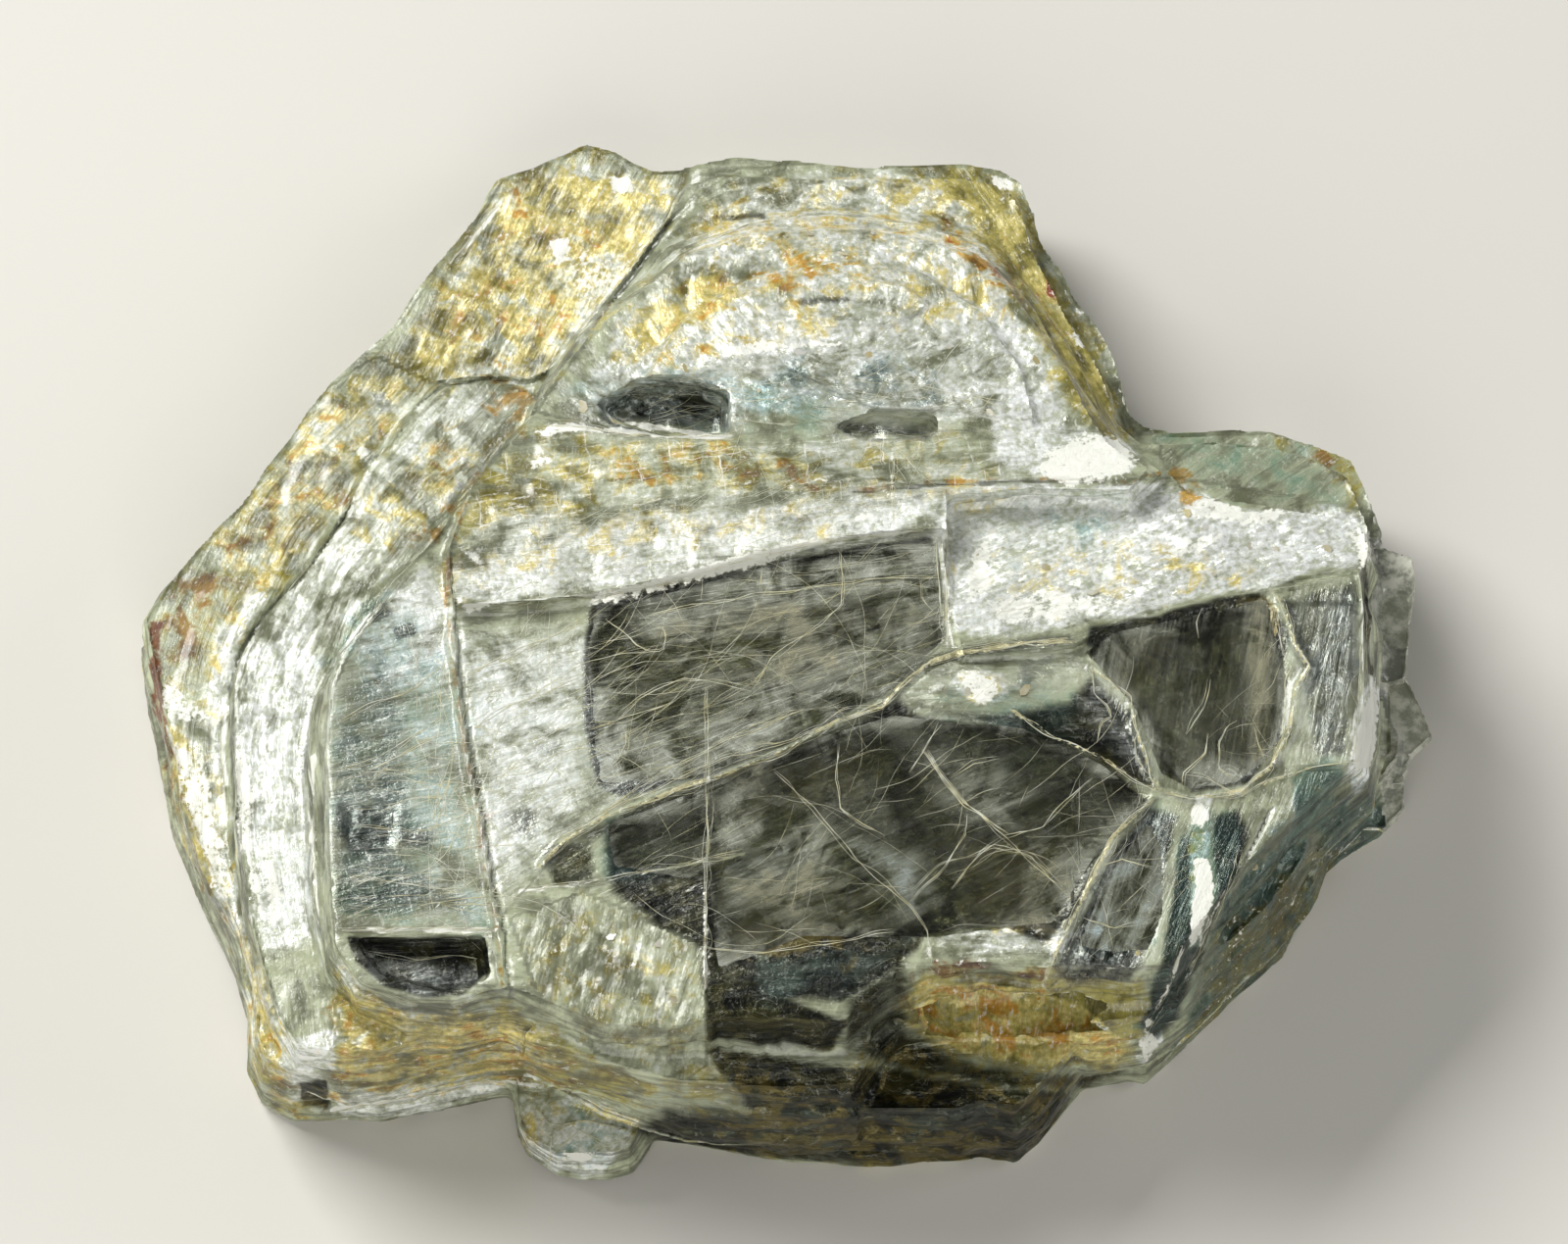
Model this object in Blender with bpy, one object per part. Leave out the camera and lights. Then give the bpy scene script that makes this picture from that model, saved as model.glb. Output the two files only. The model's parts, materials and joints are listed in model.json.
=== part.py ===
"""A hand-sized book of mica: packets of cleaved sheets, stacked flat, stepped back like the contours of a hill.

The crystal is one grown piece, so it is one solid. It lies on a flat cleavage face, sheets level, +Z up.
Every rim is drawn in millimetres as the crystal shows from DISPLAY_TILT off straight above, leaning to -Y:
across to the right, then up the picture. seen_to_plan lays such a point down at its real height.
"""

import collections
import math

import bmesh
import bpy
from mathutils import Vector, noise

MM = 0.001
DISPLAY_TILT = math.radians(20)
ORIGIN_SHIFT = Vector((0.00009, 0.00608, 0.0))  # brings the middle of the whole box to the origin, in metres

PLATE_TOP = 31.0  # height of the front plate above the resting face, in millimetres
BASE_CHAMFER = 1.0

EDGE_STEP = 3.4  # an outline is cut to about this length between points, in millimetres
CUTTER_ABOVE = 4.0  # how far a cutter stands above the mouth of its hollow
LEAF_RAGGED = 0.7  # how far the edge of a leaf under the rim strays from its line
RAGGED_SCALE = 0.13  # strays per millimetre along the edge
LEDGE_RISE = 0.3  # a ledge is not quite level, so that no two outlines share a height

SHEET = 0.6  # the front sheet that ends at the long crack on the left
RIDGE_HEIGHT = 0.45  # of the buckled lines across the front plate
RIDGE_WIDTH = 1.5
RIDGE_ROOT = 0.8  # how far a ridge reaches down into the plate

# How far a wall runs out below its rim on each side, in millimetres. A negative value undercuts it.
Lean = collections.namedtuple("Lean", "left right front back")

# Outline of the widest packet, clockwise from the left peak of the far edge.
OUTER_RIM = [
    (-20.5, 49.5), (-17.5, 48.8), (-15.5, 47.6), (-13.0, 46.6), (-11.0, 46.8), (-8.0, 47.6), (-5.0, 48.2),
    (1.0, 47.8), (7.0, 47.2), (13.0, 47.2), (18.5, 47.5), (22.3, 46.8), (24.4, 45.5), (25.8, 42.5),
    (26.4, 39.5), (28.5, 36.5), (29.9, 33.5), (32.3, 30.4), (33.9, 27.4), (34.7, 24.4), (35.3, 21.6),
    (37.0, 20.0), (40.0, 19.5), (46.0, 19.8), (50.0, 19.4), (54.5, 18.1), (58.2, 16.6), (59.4, 14.0),
    (60.3, 11.6), (61.0, 9.0), (60.0, 7.0), (59.6, 0.0), (59.8, -5.0), (61.0, -8.5), (62.6, -11.4),
    (62.4, -13.6), (60.5, -16.0), (56.6, -18.6), (53.8, -20.8), (52.2, -24.4), (50.3, -28.2), (48.0, -30.2),
    (42.5, -35.0), (38.5, -38.6), (36.3, -40.6), (34.9, -40.4), (30.1, -41.6), (27.4, -44.7), (25.5, -47.1),
    (23.4, -48.8), (20.0, -48.3), (17.5, -49.0), (0.5, -49.1), (-5.9, -47.9), (-10.9, -47.1),
    (-14.9, -46.7), (-19.8, -45.8), (-23.8, -44.3), (-27.8, -42.7), (-30.1, -42.8), (-35.1, -43.8),
    (-41.1, -45.4), (-44.0, -45.0), (-49.9, -45.3), (-52.5, -44.0), (-53.4, -41.4), (-53.7, -36.5),
    (-55.2, -31.5), (-57.7, -26.1), (-59.8, -21.6), (-61.4, -17.5), (-61.9, -14.0), (-63.4, -8.1),
    (-64.6, -3.0), (-65.3, 0.4), (-63.2, 3.7), (-60.6, 6.9), (-58.2, 9.6), (-55.3, 12.6), (-53.4, 15.8),
    (-50.8, 18.9), (-49.0, 21.8), (-46.6, 24.7), (-43.4, 27.7), (-40.3, 30.8), (-38.3, 33.9), (-36.0, 36.9),
    (-33.4, 39.9), (-31.1, 42.9), (-29.4, 45.8), (-26.0, 46.8), (-23.0, 48.3),
]

# The next packet in: the first step on the left, the lobe on the far right, the back wall on the right.
MIDDLE_RIM = [
    (-56.0, -6.5), (-55.7, -12.5), (-55.4, -19.5), (-54.2, -28.5), (-52.5, -35.0), (-51.0, -39.5),
    (-49.0, -42.6), (-44.0, -43.4), (-40.0, -43.0), (-35.0, -41.8), (-30.0, -40.8), (-26.0, -41.0),
    (-22.0, -42.6), (-18.0, -45.0), (-14.0, -46.4), (-10.0, -47.0), (0.0, -47.8), (7.0, -47.6),
    (8.5, -44.0), (12.0, -40.8), (20.0, -39.6), (28.0, -39.8), (31.0, -40.4), (36.5, -39.6), (39.0, -37.6),
    (43.0, -33.8), (48.5, -29.0), (51.0, -26.0), (53.0, -22.8), (54.5, -19.4), (57.0, -17.4), (59.2, -15.4),
    (59.2, -6.5), (59.0, 1.5), (59.6, 7.0), (59.4, 10.0), (57.6, 14.8), (54.0, 16.6), (50.0, 17.9),
    (44.0, 18.4), (39.0, 18.2), (36.0, 18.4), (34.0, 20.4), (33.0, 24.0), (31.5, 27.4), (29.0, 31.0),
    (27.4, 34.4), (25.5, 38.0), (24.5, 42.0), (23.0, 44.8), (18.5, 45.6), (5.0, 45.6), (-6.2, 45.9),
    (-10.0, 44.9), (-11.0, 43.0), (-15.0, 37.2), (-20.0, 31.0), (-24.0, 26.2), (-26.0, 24.9), (-30.0, 25.4),
    (-35.0, 24.6), (-37.8, 22.2), (-40.0, 18.6), (-42.5, 16.0), (-44.8, 11.4), (-48.8, 5.2), (-52.8, 0.8),
    (-55.2, -3.2),
]

# The broad front plate that carries the clear windows.
PLATE_RIM = [
    (-45.5, -5.5), (-46.2, -11.5), (-45.8, -19.5), (-45.5, -26.5), (-45.0, -32.5), (-42.5, -36.0),
    (-38.0, -37.6), (-33.0, -37.8), (-29.0, -36.8), (-27.0, -37.0), (-23.0, -38.6), (-18.0, -40.6),
    (-12.0, -41.0), (-6.0, -40.0), (0.0, -40.0), (6.0, -40.2), (10.0, -36.8), (14.0, -35.0), (20.0, -34.4),
    (26.0, -35.0), (30.0, -34.6), (35.0, -35.0), (39.0, -34.6), (41.5, -31.0), (44.0, -27.8), (46.5, -24.4),
    (50.0, -20.8), (54.5, -16.8), (58.0, -14.0), (58.6, -6.5), (58.6, 1.5), (58.2, 5.6), (49.0, 4.0),
    (40.0, 2.2), (33.0, 0.6), (29.0, -1.0), (18.0, -2.0), (16.5, 4.5), (16.0, 10.0), (6.0, 8.9), (-5.0, 6.4),
    (-15.0, 3.9), (-25.0, 2.6), (-32.5, 6.0), (-32.2, 12.9), (-35.5, 8.4), (-39.5, 4.2), (-42.0, 0.6),
    (-44.6, -3.0),
]

# A thin sheet over most of the plate. Its left edge is the long crack beside the first windows.
SHEET_RIM = [
    (-33.4, 2.2), (-33.9, -2.0), (-33.2, -5.0), (-32.6, -11.0), (-31.6, -17.0), (-30.4, -22.6), (-29.4, -28.0),
    (-28.4, -33.0), (-28.0, -36.2), (-23.0, -38.2), (-18.0, -40.2), (-12.0, -40.6), (-6.0, -39.6),
    (0.0, -39.6), (6.0, -39.8), (10.0, -36.4), (14.0, -34.6), (20.0, -34.0), (26.0, -34.6), (30.0, -34.2),
    (35.0, -34.6), (38.8, -34.2), (41.0, -31.0), (43.6, -27.8), (46.2, -24.4), (49.7, -20.8), (54.2, -16.6),
    (57.4, -13.8), (57.6, -6.5), (57.6, 1.5), (57.2, 4.6), (49.0, 3.2), (40.0, 1.4), (33.0, -0.2), (29.0, -1.8),
    (18.0, -2.8), (16.5, 3.7), (16.0, 9.2), (6.0, 8.1), (-5.0, 5.6), (-15.0, 3.1), (-25.0, 1.8),
]

# Two packets whose front edges make the crest, and which fall away to the back.
LEFT_CREST_RIM = [
    (-33.6, 1.6), (-34.0, 7.4), (-31.5, 14.2), (-28.5, 18.4), (-25.5, 21.0), (-18.0, 19.4), (-6.0, 18.4),
    (7.0, 14.7), (16.4, 13.6), (16.6, 9.4), (6.0, 8.5), (-5.0, 6.0), (-15.0, 3.4), (-25.0, 2.2),
]
RIGHT_CREST_RIM = [
    (16.0, 13.6), (25.0, 14.5), (35.0, 14.3), (39.0, 15.2), (41.5, 13.0), (50.0, 11.7), (58.5, 10.2),
    (59.4, 7.6), (58.8, 5.4), (49.0, 3.2), (40.0, 1.2), (33.0, -0.4), (29.2, -2.3), (18.0, -3.4), (16.4, 4.0),
]
DOME_RIM = [
    (-25.6, 21.6), (-23.5, 24.5), (-20.0, 29.0), (-15.0, 33.4), (-10.0, 37.4), (-3.0, 39.6), (5.0, 40.2),
    (13.0, 39.4), (19.0, 37.6), (23.0, 34.0), (26.0, 29.4), (29.0, 25.0), (31.0, 21.0), (33.0, 18.0),
    (37.0, 15.6), (35.0, 13.4), (25.0, 13.6), (16.0, 12.8), (7.0, 13.8), (-6.0, 17.6), (-18.0, 18.6),
]
DOME_LEAF_RIM = [
    (-14.0, 24.8), (-11.0, 30.0), (-4.0, 35.0), (5.0, 36.8), (14.0, 35.6), (20.0, 31.5), (24.0, 26.0),
    (25.5, 20.5), (16.5, 21.8), (9.0, 22.0), (0.0, 25.8), (-6.0, 25.8),
]
DOME_EYE_RIM = [
    (-4.5, 33.2), (-1.0, 35.0), (6.0, 35.6), (12.0, 34.4), (14.5, 32.4), (11.0, 30.6), (4.0, 30.0), (-2.0, 31.0),
]
TOE_RIM = [
    (-27.4, -42.0), (-13.6, -44.5), (-14.4, -50.8), (-15.6, -53.2), (-17.6, -53.8), (-23.0, -53.8),
    (-26.2, -52.0), (-27.0, -50.2),
]
APRON_RIM = [
    (-26.0, -41.5), (-24.0, -39.6), (-10.0, -38.0), (4.0, -38.0), (8.5, -38.4), (8.8, -43.0), (7.0, -46.4),
    (0.0, -46.8), (-10.0, -46.2), (-15.0, -45.0), (-20.0, -43.4),
]

PAGE_LEAN = Lean(0.0, 0.3, 0.3, 0.3)

# Loose pages that stand out of the right side, lowest first: rim, top, thickness.
PAGES = {
    "low_page": ([(55.0, -12.0), (63.6, -13.4), (63.2, -18.9), (61.2, -20.9), (56.0, -20.4)], 10.0, 1.6),
    "tooth_page": ([(55.0, -4.0), (63.2, -5.4), (64.9, -8.8), (66.0, -11.5), (64.0, -13.4), (63.0, -16.5),
                    (55.0, -17.0)], 13.6, 1.4),
    "tall_page": ([(55.0, 7.0), (61.2, 7.6), (64.2, 6.5), (64.4, 4.0), (63.8, -1.0), (63.2, -5.8),
                   (55.0, -7.0)], 17.6, 1.4),
    "short_page": ([(55.0, -7.0), (61.6, -6.0), (61.8, -13.0), (60.0, -15.6), (55.0, -16.0)], 19.4, 1.0),
}

# Hollows cut from above: rim as seen at the mouth, height of the mouth, depth, inward lean of the walls.
HOLLOWS = {
    "far_cave": ([(-19.5, 22.2), (-15.0, 25.0), (-9.0, 24.8), (-5.6, 23.6), (-5.5, 19.2), (-12.0, 18.9),
                  (-17.5, 20.2)], 29.5, 6.0, 1.6),
    "far_slot": ([(4.6, 19.4), (9.0, 21.0), (15.4, 20.6), (15.6, 18.9), (8.0, 18.2)], 29.0, 2.4, 0.5),
    "scalloped_hollow": ([(-44.0, -31.6), (-30.0, -31.2), (-29.4, -35.6), (-34.0, -37.0), (-40.0, -35.6)],
                         PLATE_TOP - SHEET, 2.8, 1.0),
    "left_window": ([(-19.8, -2.5), (-19.0, 1.2), (-10.0, 3.4), (0.0, 6.2), (10.0, 7.8), (15.2, 8.4),
                     (16.0, -1.8), (10.4, -7.0), (0.0, -12.4), (-10.0, -15.8), (-18.4, -16.0)],
                    PLATE_TOP, 1.0, 0.7),
    "right_window": ([(30.4, -3.0), (33.4, -1.0), (48.6, 2.2), (50.8, -6.0), (49.0, -13.4), (45.4, -16.0),
                      (41.0, -16.6), (38.0, -15.2), (35.6, -8.6)], PLATE_TOP, 1.2, 0.7),
    "middle_window": ([(-17.8, -20.4), (-8.0, -16.6), (4.0, -11.4), (11.0, -9.4), (24.0, -10.6),
                       (32.0, -14.4), (36.2, -17.6), (31.0, -23.8), (27.0, -30.0), (15.0, -31.6),
                       (2.0, -31.4), (-6.6, -34.8), (-7.6, -26.0), (-17.0, -24.6)], PLATE_TOP, 1.4, 0.9),
    "chamber_window": ([(36.8, -19.8), (34.0, -23.6), (32.0, -26.6), (30.5, -30.1), (29.6, -32.4), (33.0, -33.0),
                        (36.5, -32.8), (38.0, -29.0), (37.8, -22.5)], PLATE_TOP, 1.2, 0.6),
    "small_window": ([(-44.4, -18.0), (-39.2, -18.2), (-39.0, -22.6), (-43.8, -23.0)], PLATE_TOP - SHEET, 0.8, 0.3),
    "corner_hollow": ([(-49.6, -46.6), (-46.0, -46.2), (-46.0, -49.6), (-49.0, -50.2)], 14.6, 3.0, 0.4),
}

# Buckled lines that stand up between the clear windows.
RIDGES = {
    "long_vein": [(-24.5, -24.5), (-22.0, -22.0), (-18.0, -19.6), (-10.0, -16.6), (-1.0, -13.6), (5.0, -10.1),
                  (10.0, -8.6), (11.5, -7.1), (15.0, -4.1), (18.0, -3.1), (25.0, -2.1), (29.5, -2.1)],
    "window_vein": [(31.0, -4.6), (35.0, -7.6), (35.5, -10.6), (37.0, -15.6), (38.0, -17.1), (41.2, -17.8),
                    (46.0, -17.1), (49.2, -14.6), (51.4, -10.6), (52.0, -6.6), (53.0, -4.6), (51.5, -2.1),
                    (50.2, 2.4)],
    "forked_vein": [(23.0, -9.1), (27.0, -11.6), (32.0, -13.6), (35.0, -15.6), (37.4, -17.4)],
    "chamber_vein": [(37.4, -17.4), (33.2, -21.4), (31.2, -25.4), (29.6, -28.6), (27.8, -32.4)],
}

# The rusty cave under the front rim: centre as drawn, its height, and its half lengths along X, Y and Z.
RUSTY_CAVE = ((23.0, -38.6), 21.5, (10.5, 5.0, 4.2))


def seen_to_plan(across, up, height, slope=(0.0, 0.0)):
    """A point of the drawing, in millimetres, laid in metres on a plane: height at the origin, slope in X and Y."""
    level = height + slope[0] * across
    depth = (up - level * math.sin(DISPLAY_TILT)) / (math.cos(DISPLAY_TILT) + slope[1] * math.sin(DISPLAY_TILT))
    return Vector((across, depth, level + slope[1] * depth)) * MM


def evenly_cut(points, closed=True):
    """The outline with its long edges divided, so that no piece is much longer than EDGE_STEP."""
    cut = []
    for here, there in zip(points, points[1:] + points[:1] if closed else points[1:]):
        pieces = max(1, round((there - here).length / (EDGE_STEP * MM)))
        cut += [here.lerp(there, i / pieces) for i in range(pieces)]
    return cut if closed else cut + points[-1:]


def outward(points):
    """The unit normal of a closed outline at each point, in plan, pointing out of it."""
    area = sum(a.x * b.y - b.x * a.y for a, b in zip(points, points[1:] + points[:1]))
    side = 1 if area > 0 else -1
    normals = []
    for i, here in enumerate(points):
        along = points[(i + 1) % len(points)] - points[i - 1]
        normals.append(Vector((along.y, -along.x, 0)).normalized() * side)
    return normals


def lean_at(normal, lean):
    """The lean of a wall that faces along the normal, blended from those of the four sides."""
    across = lean.right if normal.x > 0 else lean.left
    along = lean.back if normal.y > 0 else lean.front
    return across * normal.x**2 + along * normal.y**2


def loft(name, rings):
    """A closed solid through rings of equally many points, lowest first, capped flat at both ends."""
    mesh = bmesh.new()
    rows = [[mesh.verts.new(point) for point in ring] for ring in rings]
    count = len(rows[0])
    for low, high in zip(rows, rows[1:]):
        for i in range(count):
            j = (i + 1) % count
            mesh.faces.new((low[i], low[j], high[j], high[i]))
    mesh.faces.new(rows[0])
    mesh.faces.new(rows[-1])
    bmesh.ops.recalc_face_normals(mesh, faces=mesh.faces)
    data = bpy.data.meshes.new(name)
    mesh.to_mesh(data)
    mesh.free()
    return bpy.data.objects.new(name, data)


def packet(name, rim, top, bottom, lean, slope=(0.0, 0.0), leaves=2, chamfer=0.0):
    """A packet of sheets under its drawn rim. Its wall steps out leaf by leaf, down to a level underside."""
    seed = Vector((len(name) * 3.7, rim[0][0], rim[0][1]))
    line = evenly_cut([seen_to_plan(u, v, top, slope) for u, v in rim])
    normals = outward(line)
    rings = []
    for leaf in range(leaves):
        shift = seed + Vector((0, 0, leaf * 9.1))
        strays = [noise.noise(p / MM * RAGGED_SCALE + shift) * LEAF_RAGGED for p in line]
        for half in (0, 1):
            share = (leaf + half) / leaves
            reach = 1 - (leaf + half / 2) / leaves
            if share == 1:
                rings.append(line)
                continue
            ring = []
            for p, n, stray in zip(line, normals, strays):
                spot = p + n * (lean_at(n, lean) * reach + stray) * MM
                spot.z = (bottom + (p.z / MM - bottom) * share) * MM
                if leaf and not half:
                    spot.z += LEDGE_RISE * MM
                ring.append(spot)
            rings.append(ring)
    if chamfer:
        foot = [p - n * chamfer * MM for p, n in zip(rings[0], normals)]
        for point in rings[0]:
            point.z += chamfer * MM
        rings.insert(0, foot)
    return loft(name, rings)


def ridge(name, path):
    """A low roof along a drawn path over the front plate, narrower at its ends."""
    line = evenly_cut([seen_to_plan(u, v, PLATE_TOP) for u, v in path], closed=False)
    rings = []
    for i, here in enumerate(line):
        along = line[min(i + 1, len(line) - 1)] - line[max(i - 1, 0)]
        side = Vector((along.y, -along.x, 0)).normalized()
        width = RIDGE_WIDTH * (0.5 if i in (0, len(line) - 1) else 1.0)
        ring = []
        for reach, rise in ((0.5, -RIDGE_ROOT), (0.45, 0.05), (0.12, RIDGE_HEIGHT), (-0.12, RIDGE_HEIGHT),
                            (-0.45, 0.05), (-0.5, -RIDGE_ROOT)):
            ring.append(here + side * width * reach * MM + Vector((0, 0, rise * MM)))
        rings.append(ring)
    return loft(name, rings)


def hollow(name, rim, mouth, depth, lean):
    """A cutter whose floor is depth below the mouth, and smaller than the mouth by the lean."""
    line = evenly_cut([seen_to_plan(u, v, mouth) for u, v in rim])
    normals = outward(line)
    rings = []
    for height, inset in ((mouth - depth, lean), (mouth + CUTTER_ABOVE, -lean * CUTTER_ABOVE / depth)):
        ring = [p - n * inset * MM for p, n in zip(line, normals)]
        for point in ring:
            point.z = height * MM
        rings.append(ring)
    return loft(name, rings)


def rusty_cave():
    """A lumpy ellipsoid cutter that opens through the front wall."""
    (across, up), height, radii = RUSTY_CAVE
    mesh = bmesh.new()
    bmesh.ops.create_icosphere(mesh, subdivisions=3, radius=1.0)
    for vertex in mesh.verts:
        swell = 1 + 0.22 * noise.noise(vertex.co * 2.3)
        vertex.co = Vector(a * b for a, b in zip(vertex.co * swell, radii)) * MM
        vertex.co += seen_to_plan(across, up, height)
    data = bpy.data.meshes.new("rusty_cave")
    mesh.to_mesh(data)
    mesh.free()
    return bpy.data.objects.new("rusty_cave", data)


def mica_material():
    material = bpy.data.materials.new("muscovite")
    material.use_nodes = True
    surface = material.node_tree.nodes["Principled BSDF"]
    surface.inputs["Base Color"].default_value = (0.36, 0.34, 0.26, 1)
    surface.inputs["Roughness"].default_value = 0.35
    surface.inputs["Metallic"].default_value = 0.0
    return material


def joined(body, tool, operation):
    modifier = body.modifiers.new(tool.name, "BOOLEAN")
    modifier.operation = operation
    modifier.object = tool


def packets():
    """Every piece that is added to the outer packet, in the order in which they are joined."""
    made = [
        packet("middle_packet", MIDDLE_RIM, 21.0, 9.0, slope=(0.02, -0.03), leaves=3,
               lean=Lean(0.9, 1.0, 1.0, 3.0)),
        packet("plate_packet", PLATE_RIM, PLATE_TOP - SHEET, 18.0, leaves=4,
               lean=Lean(2.6, 2.4, 2.0, 0.6)),
        packet("front_sheet", SHEET_RIM, PLATE_TOP, PLATE_TOP - 3 * SHEET, leaves=1,
               lean=Lean(0.3, 0.3, 0.3, 0.3)),
        packet("apron_packet", APRON_RIM, 43.0, 14.0, slope=(0.0, 0.32), leaves=2,
               lean=Lean(0.8, 0.8, 0.6, 0.2)),
        packet("left_crest", LEFT_CREST_RIM, 32.2, 26.0, slope=(0.015, -0.12), leaves=1,
               lean=Lean(0.8, 0.4, 0.5, 1.0)),
        packet("right_crest", RIGHT_CREST_RIM, 28.2, 18.0, slope=(0.0, -0.30), leaves=1,
               lean=Lean(0.4, 1.0, 0.8, 1.6)),
        packet("dome_packet", DOME_RIM, 31.8, 17.0, slope=(0.0, -0.16), leaves=5,
               lean=Lean(2.0, 4.0, 0.2, 6.5)),
        packet("dome_leaf", DOME_LEAF_RIM, 32.6, 24.0, slope=(0.0, -0.16), leaves=1,
               lean=Lean(0.5, 0.8, 0.4, 1.0)),
        packet("dome_eye", DOME_EYE_RIM, 33.2, 24.0, slope=(0.0, -0.16), leaves=1,
               lean=Lean(0.5, 0.8, 0.4, 1.0)),
        packet("toe_packet", TOE_RIM, 5.0, 0.8, slope=(0.06, -0.07), leaves=2,
               lean=Lean(0.3, 0.8, 0.4, 0.2)),
    ]
    made += [packet(name, rim, top, top - thickness, leaves=1, lean=PAGE_LEAN)
             for name, (rim, top, thickness) in PAGES.items()]
    made += [ridge(name, path) for name, path in RIDGES.items()]
    return made


def main():
    for thing in list(bpy.data.objects):
        bpy.data.objects.remove(thing)
    shown = bpy.data.collections.new("mica crystal")
    helpers = bpy.data.collections.new("cutters")
    for collection in (shown, helpers):
        bpy.context.scene.collection.children.link(collection)

    body = packet("mica_crystal", OUTER_RIM, 14.0, 0.0, slope=(0.03, -0.045), leaves=5,
                  lean=Lean(1.4, 1.1, 0.9, -1.0), chamfer=BASE_CHAMFER)
    shown.objects.link(body)
    tools = [(piece, "UNION") for piece in packets()]
    tools += [(hollow(name, *values), "DIFFERENCE") for name, values in HOLLOWS.items()]
    tools.append((rusty_cave(), "DIFFERENCE"))
    for tool, operation in tools:
        helpers.objects.link(tool)
        tool.hide_render = True
        tool.display_type = "WIRE"
        joined(body, tool, operation)
    body.data.materials.append(mica_material())

    book = bpy.data.objects.new("book_frame", None)
    book.location = ORIGIN_SHIFT
    shown.objects.link(book)
    for thing in [body] + [tool for tool, _ in tools]:
        thing.parent = book


main()
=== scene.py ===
"""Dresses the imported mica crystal: its stacked sheets, clear windows, white threads, flakes and iron stains.

Outlines and marks are drawn in millimetres as the crystal shows from 20 degrees off straight above: across to
the right, then up. drawn_at says where a point of the crystal shows in that drawing.
"""

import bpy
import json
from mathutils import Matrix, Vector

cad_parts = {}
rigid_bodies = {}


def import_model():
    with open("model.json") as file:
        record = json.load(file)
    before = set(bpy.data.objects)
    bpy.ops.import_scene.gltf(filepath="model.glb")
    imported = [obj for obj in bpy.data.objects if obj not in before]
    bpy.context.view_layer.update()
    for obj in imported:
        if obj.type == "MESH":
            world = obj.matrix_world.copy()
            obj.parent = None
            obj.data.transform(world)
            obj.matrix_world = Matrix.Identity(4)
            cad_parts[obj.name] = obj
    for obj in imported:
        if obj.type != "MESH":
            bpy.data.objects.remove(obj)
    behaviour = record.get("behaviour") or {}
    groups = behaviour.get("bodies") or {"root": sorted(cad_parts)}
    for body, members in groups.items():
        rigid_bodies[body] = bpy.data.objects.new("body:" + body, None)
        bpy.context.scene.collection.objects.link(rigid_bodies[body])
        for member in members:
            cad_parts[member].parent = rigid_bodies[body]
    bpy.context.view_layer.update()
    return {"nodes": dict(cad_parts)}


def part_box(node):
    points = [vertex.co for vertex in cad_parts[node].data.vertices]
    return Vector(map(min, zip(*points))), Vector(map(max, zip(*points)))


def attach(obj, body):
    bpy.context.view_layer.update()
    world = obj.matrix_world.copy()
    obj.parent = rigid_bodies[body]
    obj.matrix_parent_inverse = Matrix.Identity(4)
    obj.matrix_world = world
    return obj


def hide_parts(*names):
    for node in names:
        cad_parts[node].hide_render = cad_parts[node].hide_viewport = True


bl_info = {
    "name": "Mica Crystal",
    "version": (1, 0, 0),
    "blender": (4, 5, 0),
    "location": "View3D > Sidebar > Mica",
    "description": "Dresses a packed book of muscovite: sheets, clear windows, threads, flakes and stains",
    "category": "Add Mesh",
}

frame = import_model()

import json
import math
from functools import partial

import bmesh
import bpy
import numpy as np
from mathutils import Vector
from mathutils.bvhtree import BVHTree
from mathutils.geometry import delaunay_2d_cdt

NODE = "mica_crystal"
BODY = "root"
MM = 0.001
TILT = math.radians(20)
TOWARDS_EYE = np.array([0.0, -math.sin(TILT), math.cos(TILT)])
UP_THE_DRAWING = np.array([0.0, math.cos(TILT), math.sin(TILT)])
DRAWING_ORIGIN = np.array([0.09, 6.08, 0.0])  # the drawing's own origin in the frame, in millimetres
PLATE_TOP = 31.0
WINDOW_FLOOR = 27.5  # nothing lower belongs to a window of the plate
PAGES_BETWEEN = (8.0, 20.0)  # the heights of the loose pages
VEIN_STEP, HAIR_STEP = 0.45, 0.6  # between the points of a thread
LONGEST_STEP = 1.2  # between two points of a thread that isn't broken there
FEWEST_POINTS = 4
STRAND_GIRTHS = (0.85, 0.55, 0.45, 0.38)  # of the strands in one vein, as shares of its own
BROAD_VEIN = 0.14  # half width from which a vein has all its strands, and not two
SHEET_MESH = 0.8
CRUMPLED_AREA = 0.0028  # square metres of crumpled face, about
LOOKED_AT = Vector((0.00009, 0.00026, 0.016))  # the middle of the view, in metres

# Where the crystal is cleaved into its four books, lowest first, in millimetres above the resting face.
CLEAVED_AT = (0.2, 10.6, 17.1, 25.0, 60.0)
BOOK_NAMES = ("base_book", "outer_book", "middle_book", "plate_book")

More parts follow.
